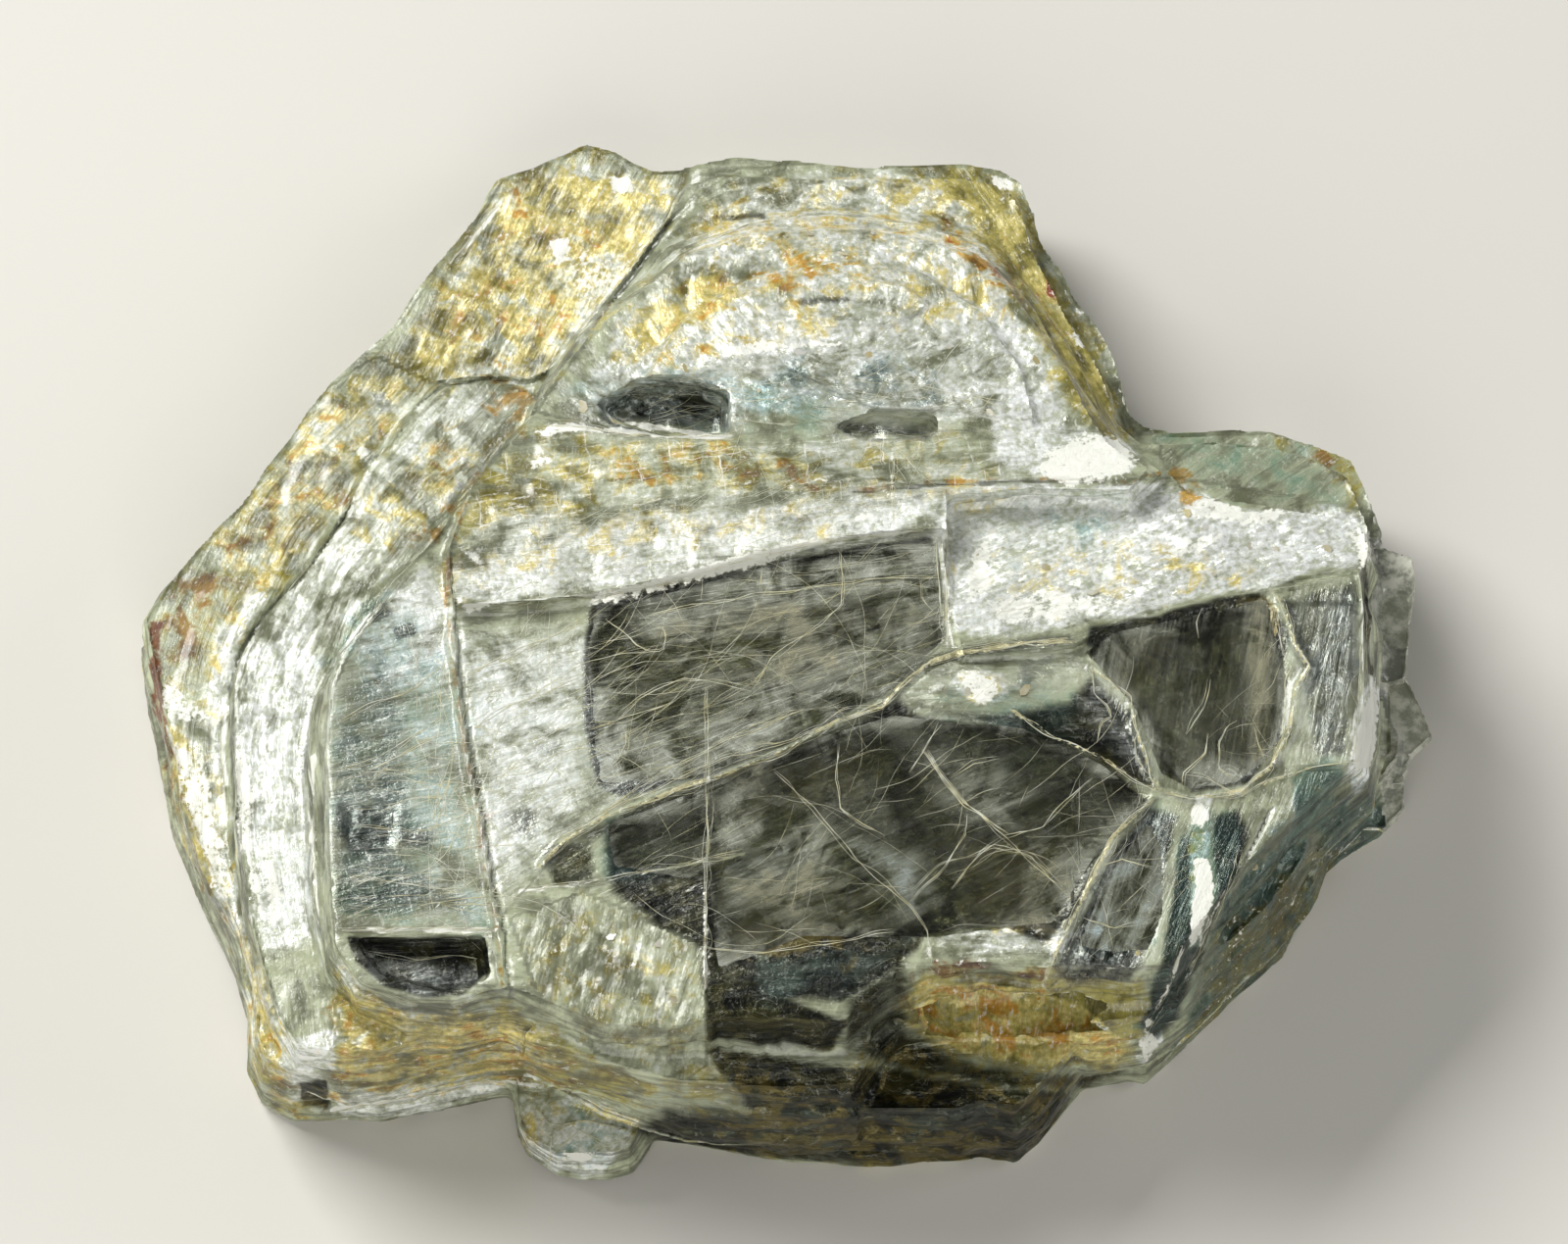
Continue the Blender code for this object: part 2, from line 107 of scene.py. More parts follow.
# The dark see-through places of the front plate: rim as drawn, then how deep the book is clear there.
WINDOWS = {
    "left_window": ([(-19.8, -2.5), (-19.0, 1.2), (-10.0, 3.4), (0.0, 6.2), (10.0, 7.8), (15.2, 8.4),
                     (16.0, -1.8), (10.4, -7.0), (0.0, -12.4), (-10.0, -15.8), (-18.4, -16.0)], 1.4),
    "right_window": ([(30.4, -3.0), (33.4, -1.0), (48.6, 2.2), (50.8, -6.0), (49.0, -13.4), (45.4, -16.0),
                      (41.0, -16.6), (38.0, -15.2), (35.6, -8.6)], 1.7),
    "middle_window": ([(-17.8, -20.4), (-8.0, -16.6), (4.0, -11.4), (11.0, -9.4), (24.0, -10.6),
                       (32.0, -14.4), (36.2, -17.6), (31.0, -23.8), (27.0, -30.0), (15.0, -31.6),
                       (2.0, -31.4), (-6.6, -34.8), (-7.6, -26.0), (-17.0, -24.6)], 1.5),
    "chamber_window": ([(36.8, -19.8), (34.0, -23.6), (32.0, -26.6), (30.5, -30.1), (29.6, -32.4),
                        (33.0, -33.0), (36.5, -32.8), (38.0, -29.0), (37.8, -22.5)], 1.4),
}

# Marks on the surface by kind: strength, softness of the edge in millimetres, outline as drawn.
PATCHES = {}
# Silver leaves; a few small full-strength patches among them are painted highlights, such as those on the
# mound and on the rib by the chamber window.
PATCHES["silver"] = [
    (0.62, 2, (-44, -2, -39, 3, -35, 6, -34, 3, -33, -7, -42, -8)),
    (0.8, 1.2, (-50, 7.5, -55, -0.5, -56.5, -5.5, -57, -12.5, -56.5, -20.5, -58, -21.5, -59, -14.5,
     -59, -6.5, -57.5, -0.5, -55, 4, -51.5, 7.5)),
    (0.7, 2, (-50, 3, -46, -3, -48, -9, -48, -22, -47, -32, -52, -33, -54, -30, -56, -13, -56, -6)),
    (0.48, 1.5, (-38, 22, -40, 18.5, -42, 16.5, -49, 5, -53, 1, -55.5, -3, -56.5, -6.5, -56.5, -12.5,
     -54, -29.5, -51.5, -32.5, -47, -31.5, -49, -12.5, -45.5, -3, -40, 4.5, -36, 8.5, -26, 23, -30, 25,
     -35, 24)),
    (0.6, 2, (-40, 28, -34, 38, -30, 45, -20, 49, -16, 47, -12, 46, -10, 43, -26, 23, -30, 25, -35, 24)),
    (1, 1.5, (-24.5, 29.5, -23, 34.5, -20, 38.5, -16, 41, -12.5, 41.5, -15, 36.5, -21, 29)),
    (0.6, 2.5, (-20, 25, -16, 32, -8, 44, -4, 46, 5, 47, 15, 47, 20, 43, 32, 19, 5, 21, -6, 19, -24, 19)),
    (0.78, 2.5, (-20, 25, -16, 32, -10, 35, 10, 31, 16, 29, -16, 23)),
    (0.75, 1.2, (20, 23.5, 25, 25.5, 30, 20.5, 33, 19.5, 35, 16, 26, 14.5, 21, 16.5)),
    (0.7, 2.5, (-30, 9, -20, 11, -4, 12, 6, 13, 16, 14, 17, 10, -16, 3, -30, 1, -33, 3)),
    (1, 0.6, (26, 18.4, 30, 19.4, 34, 18.9, 36, 16.4, 35, 14.6, 29, 14.4, 26, 14.9)),
    (1, 1, (17, 13, 38, 14, 38.5, 8.5, 17, 8)),
    (0.97, 1.5, (16, 13.5, 26, 14, 40, 13.5, 46, 11.5, 58.5, 11, 60, 7.5, 58, 6, 53, 5.5, 43, 3, 30, -1,
     20, -1.5, 17, -0.5, 15.5, 7.5)),
    (0.34, 2.5, (-46, -7, -43, -2, -39, 3, -35, 6, -34, 3, -33, -5, -29, -31, -40, -31, -39, -23, -44, -23,
     -46, -17)),
    (0.6, 2.5, (-33, -1, -20, -1, -20, -19, -24, -24, -28, -27, -30, -27, -33, -5)),
    (0.3, 2, (-28, -30, -20, -27, -10, -31, -8, -33, -8, -42, -10, -45, -14, -45, -20, -41, -27, -34)),
    (0.16, 2.5, (10, -7, 14, -4, 20, -3, 26, -2, 30, -3, 30, -6, 26, -8, 20, -10, 15, -10)),
    (1, 0.8, (17.2, -5.3, 21.5, -5.5, 22.2, -7.8, 18.8, -8.8, 16.5, -7.3)),
    (0.9, 0.6, (-50, -41.8, -45.5, -41.5, -45, -45.5, -48.8, -45.8)),
    (0.6, 1, (-46, -46.5, -28, -46, -28.5, -48, -40, -51, -45.5, -50.5)),
    (0.8, 1, (-27, -48, -20, -48.5, -14.5, -50.5, -16, -53.5, -18, -56.5, -24, -56.5, -26.5, -54)),
    (1, 0.5, (-23, -52.5, -19, -54.4, -20, -55.8, -22.8, -55.2)),
    (1, 1, (13, -38, 14.5, -36.5, 27, -37.5, 33, -40.5, 35, -43, 33, -45, 22, -44, 16, -42.5)),
    (0.6, 1.5, (13.5, -29, 20, -28.5, 28, -30, 36, -32.5, 36, -35, 28, -34, 16, -33.5)),
    (1, 0.5, (41, -21.6, 43.2, -21.6, 42.2, -32.5, 40.5, -33)),
    (1, 0.5, (35.2, -42.5, 37.5, -41.5, 38, -43.5, 36, -44.8)),
    (0.85, 0.5, (41.2, -18, 43.5, -18, 43, -20.4, 41.5, -20.1)),
    (0.42, 3, (43, -29, 49, -17, 53, -15, 60, -14, 64, -22, 58, -27, 49, -39, 42, -43, 38, -47, 37, -45,
     40, -41)),
    (1, 0.6, (58.5, -5.5, 60, -6, 59.6, -12.6, 58.8, -18, 57.4, -18.4, 57.8, -11.6)),
    (0.25, 1.5, (49.5, 3.5, 58.5, 5.5, 58.5, -6.5, 57, -14, 53, -14.5, 52, -6.5)),
    (0.9, 1, (-24, 46, -16, 45, -11, 45.5, -15, 43.5, -20, 43)),
    (0.48, 2.5, (-48, 23, -40, 29, -36, 29, -40, 19, -50, 7, -57, 3, -61, 7)),
    (0.75, 2, (-64, -11, -60, -10, -58, -17, -54, -33, -50, -41, -46, -47, -50, -49, -54, -43, -56, -33,
     -60, -25)),
    (0.6, 2.5, (-46, -33, -40, -38, -28, -38, -24, -41, -20, -45, -30, -47, -46, -47)),
    (0.44, 2, (-34, 1, -34, 7, -32, 14, -26, 21, -16, 19, -6, 19, 5, 19, 26, 19, 26, 13, 16, 13, -4, 9,
     -20, 3)),
    (0.5, 3, (18, 46, 25, 45, 29, 34, 35, 21, 30, 21)),
]
# Painted highlights: white flashes where the lights catch single leaves, painted into the colour.
PATCHES["flash"] = [
    (0.3, 2, (-26, 3, -16, 7, 6, 12, 20, 14, 18, 11, -16, 3)),
    (0.26, 3, (18, 46, 25, 45, 34, 21, 30, 23, 24, 33)),
    (0.24, 2.5, (-38, 23, -38, 29, -32, 40, -24, 46, -16, 46, -12, 44, -16, 37, -22, 29)),
    (0.22, 2, (-36, -7, -33, -6, -30, -27, -32, -30, -36, -23)),
    (0.22, 2, (-30, -7, -20, -2, -20, -11, -24, -21, -28, -24)),
    (0.75, 0.5, (-33, 1.6, -30, 2.1, -28, 1.8, -32, 0.6)),
    (0.75, 0.5, (-26, 16.4, -23.8, 17.2, -23.4, 16.2, -25.5, 15.4)),
    (0.75, 0.5, (29.6, 30.4, 31, 29.4, 31.2, 27.4, 29.8, 28.2)),
    (0.7, 0.5, (34.8, 24.6, 36, 23.8, 35.8, 22.4, 34.6, 23.2)),
    (0.22, 2, (17, 12, 38, 13, 58, 10, 60, 7, 35, 0, 18, -2)),
    (0.24, 2, (13, -27, 28, -24, 36, -33, 36, -37, 14, -37)),
    (0.26, 2.5, (43, -30, 60, -17, 63, -22, 49, -39, 40, -44)),
    (0.2, 2, (-28, -30, -20, -27, -8, -33, -8, -42, -14, -45, -24, -38)),
    (0.14, 3, (-65, -1, -50, 19, -36, 29, -30, 25, -45, 10, -56, -5, -55, -27, -50, -45, -58, -31)),
    (0.12, 3, (-20, 24, -12, 38, -4, 46, 20, 45, 30, 23, 16, 20, -4, 26)),
    (0.8, 0.6, (-7.2, 28, -0.8, 28.6, -0.6, 27.6, -6, 26.8)),
    (0.7, 0.4, (0.6, 28.4, 6, 28.8, 6.2, 28, 0.6, 27.6)),
    (0.92, 1.4, (26.5, 17.5, 31, 19.5, 34, 19, 36, 16.5, 35, 14.5, 29, 14, 26, 15)),
    (0.8, 1, (17.5, -5.5, 19, -5, 21, -6, 21.5, -7.5, 20, -9, 17.5, -7)),
    (1, 0.4, (41.2, -23.4, 42.8, -23.8, 43.2, -26.6, 42.4, -31.6, 40.8, -33, 40.6, -29.6, 41.2, -26.6)),
    (1, 0.4, (40.7, -18.8, 42.2, -18.4, 43, -19.6, 42.2, -20.8, 41, -20.4)),
    (0.9, 0.4, (35.6, -43, 36.8, -41.5, 38, -43.1, 36.6, -44.8)),
    (1, 0.4, (59.8, -5.5, 60.2, -8.6, 60, -12.6, 59.6, -14.8, 58, -15.2, 57.2, -13.6)),
    (0.8, 0.6, (57, 9.4, 60, 9.4, 60.4, 6.4, 58.4, 5.4)),
    (0.8, 0.8, (-55.5, -10.6, -53.8, -14.6, -53.8, -21.6, -52.5, -29.6, -53.8, -29.6, -56, -15.6)),
    (0.75, 0.8, (-53.2, -22.6, -51.5, -21.6, -50.8, -29.6, -52, -31)),
    (0.55, 2, (-24, 37, -21, 39, -16, 38, -14, 37, -18, 33, -22, 33)),
    (0.85, 0.6, (-24.4, 39.4, -22.4, 40.2, -22, 37.2, -24, 37)),
    (0.85, 0.5, (-18.2, 46.2, -15.8, 46.4, -15.4, 44.6, -17.8, 44.4)),
    (0.85, 0.5, (21.2, 46.4, 23.6, 46.2, 24, 44.4, 22, 44.4)),
    (0.8, 0.6, (-20, 1.4, -7, 4.4, 0, 6.4, 3.6, 7.8, 3, 8.6, -4, 7.4, -11, 5, -19, 3)),
    (0.7, 0.8, (20, 2.4, 28, 3.4, 35, 2.4, 40, 4.2, 32, 0.4, 22, -0.6)),
    (0.75, 0.6, (19, 7.4, 21, 8.9, 21.2, 3.4, 18.5, 2.2)),
    (0.8, 0.6, (39, 11.4, 43, 12.9, 47, 11.4, 52, 11.4, 49, 9.9, 42, 10.4)),
    (0.8, 0.6, (-20, 19.4, -24, 19.2, -26, 19.8, -20, 20.4)),
    (0.85, 0.5, (-22.5, -53.5, -19, -54.4, -20, -55.5, -22.8, -55.2)),
    (0.75, 1.2, (-63, -12.5, -60.5, -12.5, -57.5, -19.5, -56, -29.5, -58, -27.5, -60, -22.5)),
    (0.7, 0.6, (-60, -12.6, -58.5, -15.6, -56.5, -28.6, -57.8, -26.6, -59.4, -21.6, -60.5, -16.6)),
    (0.7, 0.6, (-63.5, -5.5, -60, -8, -58, -10, -61, -10.3, -63.5, -9)),
    (0.6, 0.5, (5, 10.6, 8, 11.4, 10, 11, 8, 10.2)),
    (0.7, 0.4, (38, 7.4, 41, 8.6, 45, 9.4, 44, 8.2, 40, 6.8)),
]
PATCHES["gold"] = [
    (0.5, 2, (-16, -1, -4, 2, 10, 3, 15, 1, 6, -5, -16, -11)),
    (0.55, 2, (33, -1, 39, -1, 37, -9, 34, -7)),
    (0.6, 2, (-6, -15, 3, -13, 10, -13, 8, -18, -2, -19)),
    (0.55, 2.5, (-65, -1, -64, 4, -48, 23, -40, 29, -36, 29, -40, 19, -49, 5, -54, 2, -56, -2, -58, -7,
     -58, -13, -56, -30, -56, -32, -60, -25, -64, -11)),
    (0.8, 1, (-63.5, -10.5, -61, -10, -59, -15.5, -57.5, -23.5, -57.5, -28.5, -59.5, -26.5, -61.5, -21.5,
     -63, -16.5)),
    (0.7, 2, (-56, -30, -54, -33, -51, -41, -50, -47, -47, -51, -51, -50, -54, -47)),
    (0.72, 3, (-40, 23, -40, 28, -30, 45, -20, 49, -16, 47, -12, 46, -11, 43, -22, 28, -26, 25, -30, 26)),
    (0.45, 2, (-42, 15, -38, 19, -26, 21, -35, 11, -40, 7, -44, 7)),
    (0.42, 3, (-16, 23, -16, 32, -8, 44, 5, 47, 20, 47, 25, 33, 20, 30, 10, 30, -2, 28)),
    (0.75, 2, (-18, 27, -14, 33, -8, 38, -4, 34, -15, 26)),
    (0.7, 1, (-4.5, 34, -1, 35.5, 5, 37, 6, 36, -3.5, 33)),
    (0.25, 3, (16, 7, 25, 9, 49, 6, 40, 3, 25, -1)),
    (0.3, 2, (-34, 3, -34, 9, -30, 15, -10, 13, 6, 13, 6, 10, -10, 7, -20, 6)),
    (0.38, 2, (16, 20, 26, 13, 16, 12, 6, 13, 6, 19)),
    (0.95, 2, (13, 47, 19, 47, 24, 45, 28, 35, 32, 30, 36, 19, 32, 19, 20, 38)),
    (0.6, 1.5, (-31, 17, -22, 17, -21, 10.5, -30, 9.5, -32, 7.5, -33, 1.5, -34, 2.5, -34, 9.5)),
    (0.52, 1.5, (-26, 20.5, -16, 19, -5.5, 18.5, 4, 16.5, 6, 13.5, 0, 13, -10, 13.5, -20, 13, -24, 15.5)),
    (0.4, 1.5, (38, 7.5, 49, 7, 48, 4, 40, 3)),
    (0.6, 1, (50, 19.5, 55, 18, 58.5, 16, 59, 11, 57, 11, 57, 14.5, 54, 16.5, 50, 18)),
    (0.5, 1, (17, -5.5, 21.5, -5.5, 22, -8, 19, -9, 16.5, -7.5)),
    (0.8, 1.5, (-45.5, -35.5, -40, -38.5, -36, -40, -32, -39.5, -28.5, -37.5, -19, -43.5, -11, -47.5,
     -16, -48.5, -30, -46.5, -45.5, -47.5)),
    (0.5, 1.5, (-16, -45.5, -8, -44, 0, -45, 6, -46.5, 8, -48.5, 0, -49, -16, -48)),
    (0.45, 1, (-27, -48, -24, -47.5, -20, -48.5, -14.5, -50.5, -15, -51.5, -20, -50.5, -24, -50.5,
     -26, -54.5, -27, -53.5)),
    (0.4, 1.5, (14, -22.5, 25, -22.5, 26, -27.5, 16, -29)),
    (1, 1.2, (12.5, -37.5, 14.5, -35, 28, -35.5, 36.5, -36.5, 36, -42.5, 33, -46, 22, -44.5, 16, -43,
     13, -40.5)),
    (0.95, 1, (46.5, 2.5, 49, 3, 49.5, -4.5, 48.5, -13.5, 47, -13.5, 47, -5.5)),
    (0.7, 3, (-7, -25, 4, -23, 10, -27, 6, -33, -4, -33)),
    (0.95, 3, (18, -21, 28, -23, 26, -31, 18, -29)),
    (0.6, 2, (44, -33, 53, -23, 60, -25, 50, -39, 41, -44)),
    (0.6, 2, (-10, -49, 0, -48, 16, -51, 26, -52, 20, -56, -4, -55)),
    (0.45, 0.6, (41, -21.6, 43.2, -21.6, 42.2, -32.5, 40.5, -33)),
    (0.3, 2, (-28, -30, -20, -27, -8, -33, -8, -42, -10, -45, -14, -45, -24, -38)),
    (0.4, 2, (6, -42, 16, -43, 30, -46, 26, -52, 16, -49, 8, -48)),
]
PATCHES["ochre"] = [
    (0.6, 1, (-63.5, 3.5, -58.5, 7.5, -57, 4.5, -59, -0.5, -62, -5.5, -63.5, -1.5)),
    (0.7, 0.8, (-28.8, 44.2, -26.4, 45.1, -27, 42, -28.8, 41.8)),
    (0.45, 2, (-34, 30, -30, 31, -28, 28, -29, 24, -32, 25)),
    (0.5, 2, (-30, 26, -26, 25, -25, 23, -28, 19, -30, 21)),
    (0.45, 2, (-38, 19, -35, 20, -32, 17, -30, 14, -33, 13, -36, 15)),
    (0.5, 1.5, (-48, 17, -46, 15.5, -44, 12, -45, 10.5, -46.5, 13)),
    (0.6, 1, (-40, 7.5, -36, 11.5, -33, 13.5, -34.5, 9, -38, 5)),
    (0.4, 1.6, (-19, 18.5, -6, 18, 1, 16.5, 1.5, 13.5, -4, 14.5, -11, 12.5, -16, 13.5, -20, 15.5)),
    (0.34, 3, (-36, 33, -33, 38, -28, 43, -24, 43, -18, 42, -16, 39, -24, 28, -36, 27)),
    (0.4, 3, (-65, 1, -47, 21, -40, 23, -47, 11, -56, 3, -61, -7)),
    (0.35, 2.5, (-63, -12, -60, -15, -56, -30, -47, -51, -52, -50, -55, -38, -61, -23)),
    (0.35, 3, (-46, -37, -36, -41, -24, -41, -11, -48, -46, -48)),
    (0.3, 3, (-18, 23, -12, 36, -4, 43, 10, 42, 18, 37, 6, 33)),
    (0.7, 0.6, (-2, 17.2, 1.2, 15.6, 3.8, 13.6, 1.5, 13.6, -1, 15)),
    (0.85, 0.7, (39, 15.6, 41.8, 15.2, 42.6, 13.4, 41.5, 11.2, 39.5, 11.9)),
    (0.6, 1, (51.5, 19, 55, 17.5, 57, 15.5, 56, 14.5, 53, 16.5)),
    (0.6, 2, (16, 41, 20, 39, 25, 36, 30, 30, 28, 29, 23, 33, 18, 36)),
    (0.55, 1, (12.5, -37.5, 14.5, -36, 20, -36.5, 26, -37.5, 32, -40.5, 35, -42.5, 33, -45, 28, -44.5,
     22, -44, 16, -42.5, 13, -40)),
    (0.5, 1.5, (-32, -40.5, -24, -42.5, -20, -45, -26, -46, -32, -44.5)),
    (0.6, 0.6, (23.4, -20.4, 25, -20.6, 24.6, -21.6, 23.4, -21.4)),
    (0.55, 1, (47, 2.5, 49, 3, 49, -4.5, 48.5, -13.5, 47, -13.5, 47.5, -5.5)),
    (0.45, 1.2, (-16, 19.5, -24, 20, -20, 21, -12, 19)),
    (0.5, 0.8, (-4.5, 36, 3, 36.6, 7, 34.4, 0, 33.8)),
    (0.45, 1.5, (-56, -35.5, -54, -36.5, -53, -42.5, -54, -45.5)),
]
PATCHES["rust"] = [
    (1, 0.7, (-65.4, -0.6, -63.6, 0.2, -63.6, -5.5, -63, -11, -64.2, -10, -65.2, -5.5)),
    (0.7, 0.6, (-64.2, -10, -62.8, -11, -61.8, -18.6, -62.8, -16.6)),
    (0.7, 0.8, (20.2, 36.6, 22.5, 37.2, 24.2, 35.4, 23.6, 33.6, 21, 34.4)),
    (0.7, 0.8, (26.2, 36, 28, 34.4, 28.5, 31.4, 26.8, 32.2)),
    (0.5, 0.7, (15.5, 40.6, 17.5, 39.8, 17.2, 38.2, 15.8, 38.8)),
    (0.55, 0.8, (13.8, -34, 20, -33.8, 26.5, -35, 27.2, -37, 14.5, -36.2, 12.5, -37.8, 12, -36)),
    (0.6, 0.6, (-30.8, -18.6, -29.4, -19.6, -28.4, -29.6, -29, -31.6, -30, -26.6)),
    (0.5, 0.8, (-25.5, 45.4, -24, 45.8, -24.4, 44, -25.5, 43.8)),
]
# Painted shade: the dark depth of the clear book under the windows, and the shade in hollows, grooves, on the
# front wall and in other recesses.
PATCHES["deep"] = [
    (0.62, 0.8, (-21, -21.6, -10, -16.2, 0, -12.8, 8, -9, 10.8, -6.6, 13, -3.8, 20, -1.8, 29, -1.1,
     30, -2.5, 20, -3.8, 14, -5.5, 10.5, -8.8, 0, -14.8, -10, -17.8, -20, -22.6)),
    (0.8, 1.5, (12.5, -41, 20, -44.5, 30, -46, 36.5, -45, 31, -48, 20, -47, 10, -45, 6, -42.5, 10, -40.5)),
    (0.34, 1.5, (11.5, -7, 14.5, -5, 20, -3.5, 26, -3, 29, -4, 26, -7.5, 20, -9.5, 15, -9)),
    (0.26, 2.5, (-35, 39, -32, 42, -28, 40, -26, 34, -30, 30, -35, 30, -38, 33)),
    (0.36, 1.5, (-45.5, -38, -36, -41, -28, -40.5, -20, -45.5, -24, -46.5, -40, -46.5, -45, -45.5)),
    (0.2, 2.5, (-32, 16, -20, 15, -18, 11, -24, 7, -33, 7)),
    (0.4, 2, (-26, -30, -19, -29, -15, -33, -18, -37, -24, -36)),
    (0.26, 1.5, (20, 13, 26, 13.5, 29, 10.5, 24, 9)),
    (0.3, 1.5, (39, 12.5, 43, 11.5, 42, 9, 39, 10)),
    (0.4, 1.2, (-27, 23.5, -29, 20, -36.5, 10, -40.5, 6, -46, -2, -48, -5.5, -50, -11, -50, -16.5,
     -48, -31.5, -45.5, -31.5, -46.5, -22.5, -47, -15.5, -46, -7, -44, -3.5, -39, 4, -35, 8, -31.5, 12.5,
     -25.5, 22)),
    (0.75, 1.2, (-20, 20, -19, 21.5, -13, 24.5, -9, 25, -6, 24, -6, 19.5, -10, 19, -16, 19)),
    (0.95, 1, (-16, 21, -13, 23, -9, 23.5, -6.5, 23, -6, 19.5, -15, 19.5)),
    (0.48, 2.5, (0, 27, 16, 27, 18, 21, 5, 21, -4, 24)),
    (0.8, 0.8, (5, 20.2, 15, 19.2, 14.8, 18.4, 10, 18.4, 6, 19)),
    (0.7, 0.5, (-7.5, 42.2, -2, 42, -2, 41.2, -7.3, 41.4)),
    (0.5, 0.5, (1, 33.1, 11, 33, 10.8, 32.2, 1.5, 32.1)),
    (0.97, 0.8, (-20.2, -1.6, -19.4, 2.2, -8, 4.6, 0, 6.6, 8, 8.2, 15.2, 8.8, 15.5, 3.4, 16.2, -1.8,
     14, -4.2, 10.5, -7.2, 2, -11.6, -8, -15.6, -16, -17.8, -18.8, -16.6, -20, -10.6, -20.4, -5.5)),
    (1, 0.7, (31, -0.6, 38, 0.8, 44, 2.6, 48.5, 3.2, 49.8, 0.9, 50.8, -1.6, 50.8, -7.6, 50.3, -11.6,
     46.8, -16.4, 41, -17.4, 38.5, -14.6, 36.2, -7.8, 33.2, -4.3, 30.5, -2.4)),
    (0.9, 1, (15, -9, 22, -9.5, 29, -8, 31, -5.5, 35, -9, 37.5, -17, 28, -13)),
    (0.93, 1.2, (-18, -20.5, -10, -17, -1, -14.5, 11.5, -7.5, 14, -9.5, 29, -12.5, 35, -16, 37, -18,
     32.5, -22, 29, -29.5, 26, -32.5, 20, -30, 15, -30.5, 13, -33, 10, -35.5, 6, -37.5, 2, -37.5, -8, -36.5,
     -8.5, -32.5, -13, -30.5, -17.5, -27)),
    (0.56, 2, (-45, -7, -40, -3, -38, -7, -36, -30, -46, -30, -46, -17)),
    (0.85, 1.6, (-45.5, -19, -43, -18, -39, -18, -38, -20.5, -35, -21, -35, -23, -39, -23, -40, -24.5,
     -43.5, -24, -45, -22)),
    (0.7, 0.6, (-42.2, 1.2, -39.8, 2, -39.2, 0.4, -41.6, -0.6)),
    (0.8, 0.5, (-39.8, -0.6, -37.5, -0.1, -37, -1.6, -39.2, -2.1)),
    (0.45, 1.6, (-45, -9.5, -41, -8.5, -41, -14, -44.5, -15)),
    (0.62, 1.6, (-45.5, -23.5, -41, -25, -36, -24.5, -31.5, -28, -31.5, -30, -38, -29, -44, -30,
     -45.5, -27)),
    (0.45, 1.6, (-44.5, -0.5, -40, -0.5, -39, -5.5, -43, -6.5)),
    (1, 0.5, (-43.8, -31.6, -30, -31.6, -29.6, -35, -32, -37.4, -36, -37.8, -40, -36.4, -42.8, -34)),
    (0.55, 1.6, (-29, -19, -26, -18, -24, -19, -25, -22, -27.5, -21.5)),
    (0.4, 1, (-26, -11, -22, -10.5, -22, -14, -26, -14)),
    (0.65, 0.8, (-24.4, -22.6, -19.2, -21.8, -18.8, -26.4, -23.4, -26.6)),
    (0.97, 1, (-8, -29.5, 0, -31, 13, -30.5, 13, -33, 10, -35.5, 6, -38, -8, -37.5)),
    (0.97, 0.8, (-7.8, -36.5, 0, -37.5, 6.8, -40, 5, -42.8, -8, -42)),
    (0.97, 1.5, (-8, -42.5, 6, -44, 20, -46.5, 30, -47.5, 26, -55.5, 0, -55.5, -12, -53.5, -15, -51.5,
     -12, -49, -4, -49.5)),
    (0.75, 1.5, (6, -37.5, 12, -32.5, 13, -36.5, 13, -41, 20, -45, 10, -44.5, 6, -42.5)),
    (0.9, 0.4, (-49.4, -46.8, -46.2, -46.5, -46, -50, -48.8, -49.5)),
    (0.9, 0.8, (36.5, -18.4, 39.6, -19.8, 36.8, -32.5, 35, -36.1, 28.5, -36.4, 26.8, -35, 33, -22.8)),
    (0.9, 0.7, (43.2, -19.6, 46.2, -18.8, 47.2, -21.6, 44.2, -28.6, 42.2, -35, 39.5, -40.5, 37.2, -42.8,
     36, -40.5, 37.6, -34.5, 40, -21.6, 41, -21.6, 40.6, -33, 42.4, -32.8, 43.4, -26.6)),
    (0.58, 2.5, (43, -29, 49, -20, 53, -16, 60, -15, 64, -22, 58, -27, 49, -39, 42, -43, 38, -47, 37, -45,
     40, -41)),
    (0.5, 0.8, (51, -15.6, 54.5, -14.2, 56.8, -15.6, 55.2, -21.6, 52.5, -24.6, 50.8, -21.6)),
    (0.68, 1, (50, 2.5, 53, 3.5, 58, 4.5, 58, -6.5, 57, -13.5, 53.5, -14, 52.5, -6.5)),
    (1, 0.4, (58.9, 6.4, 59.6, 6.2, 59.6, -5.5, 58.8, -5.5)),
    (0.6, 0.8, (-40.2, 28.2, -38, 29.6, -37.8, 28.2, -39.8, 27.4)),
    (0.35, 1.5, (-44, 26, -39, 27.5, -38, 25.5, -43, 20.5, -45.5, 19.5)),
    (0.25, 2.5, (-11, 44, -6, 45, -3, 43, -8, 40, -18, 28, -20, 28, -14, 37)),
]
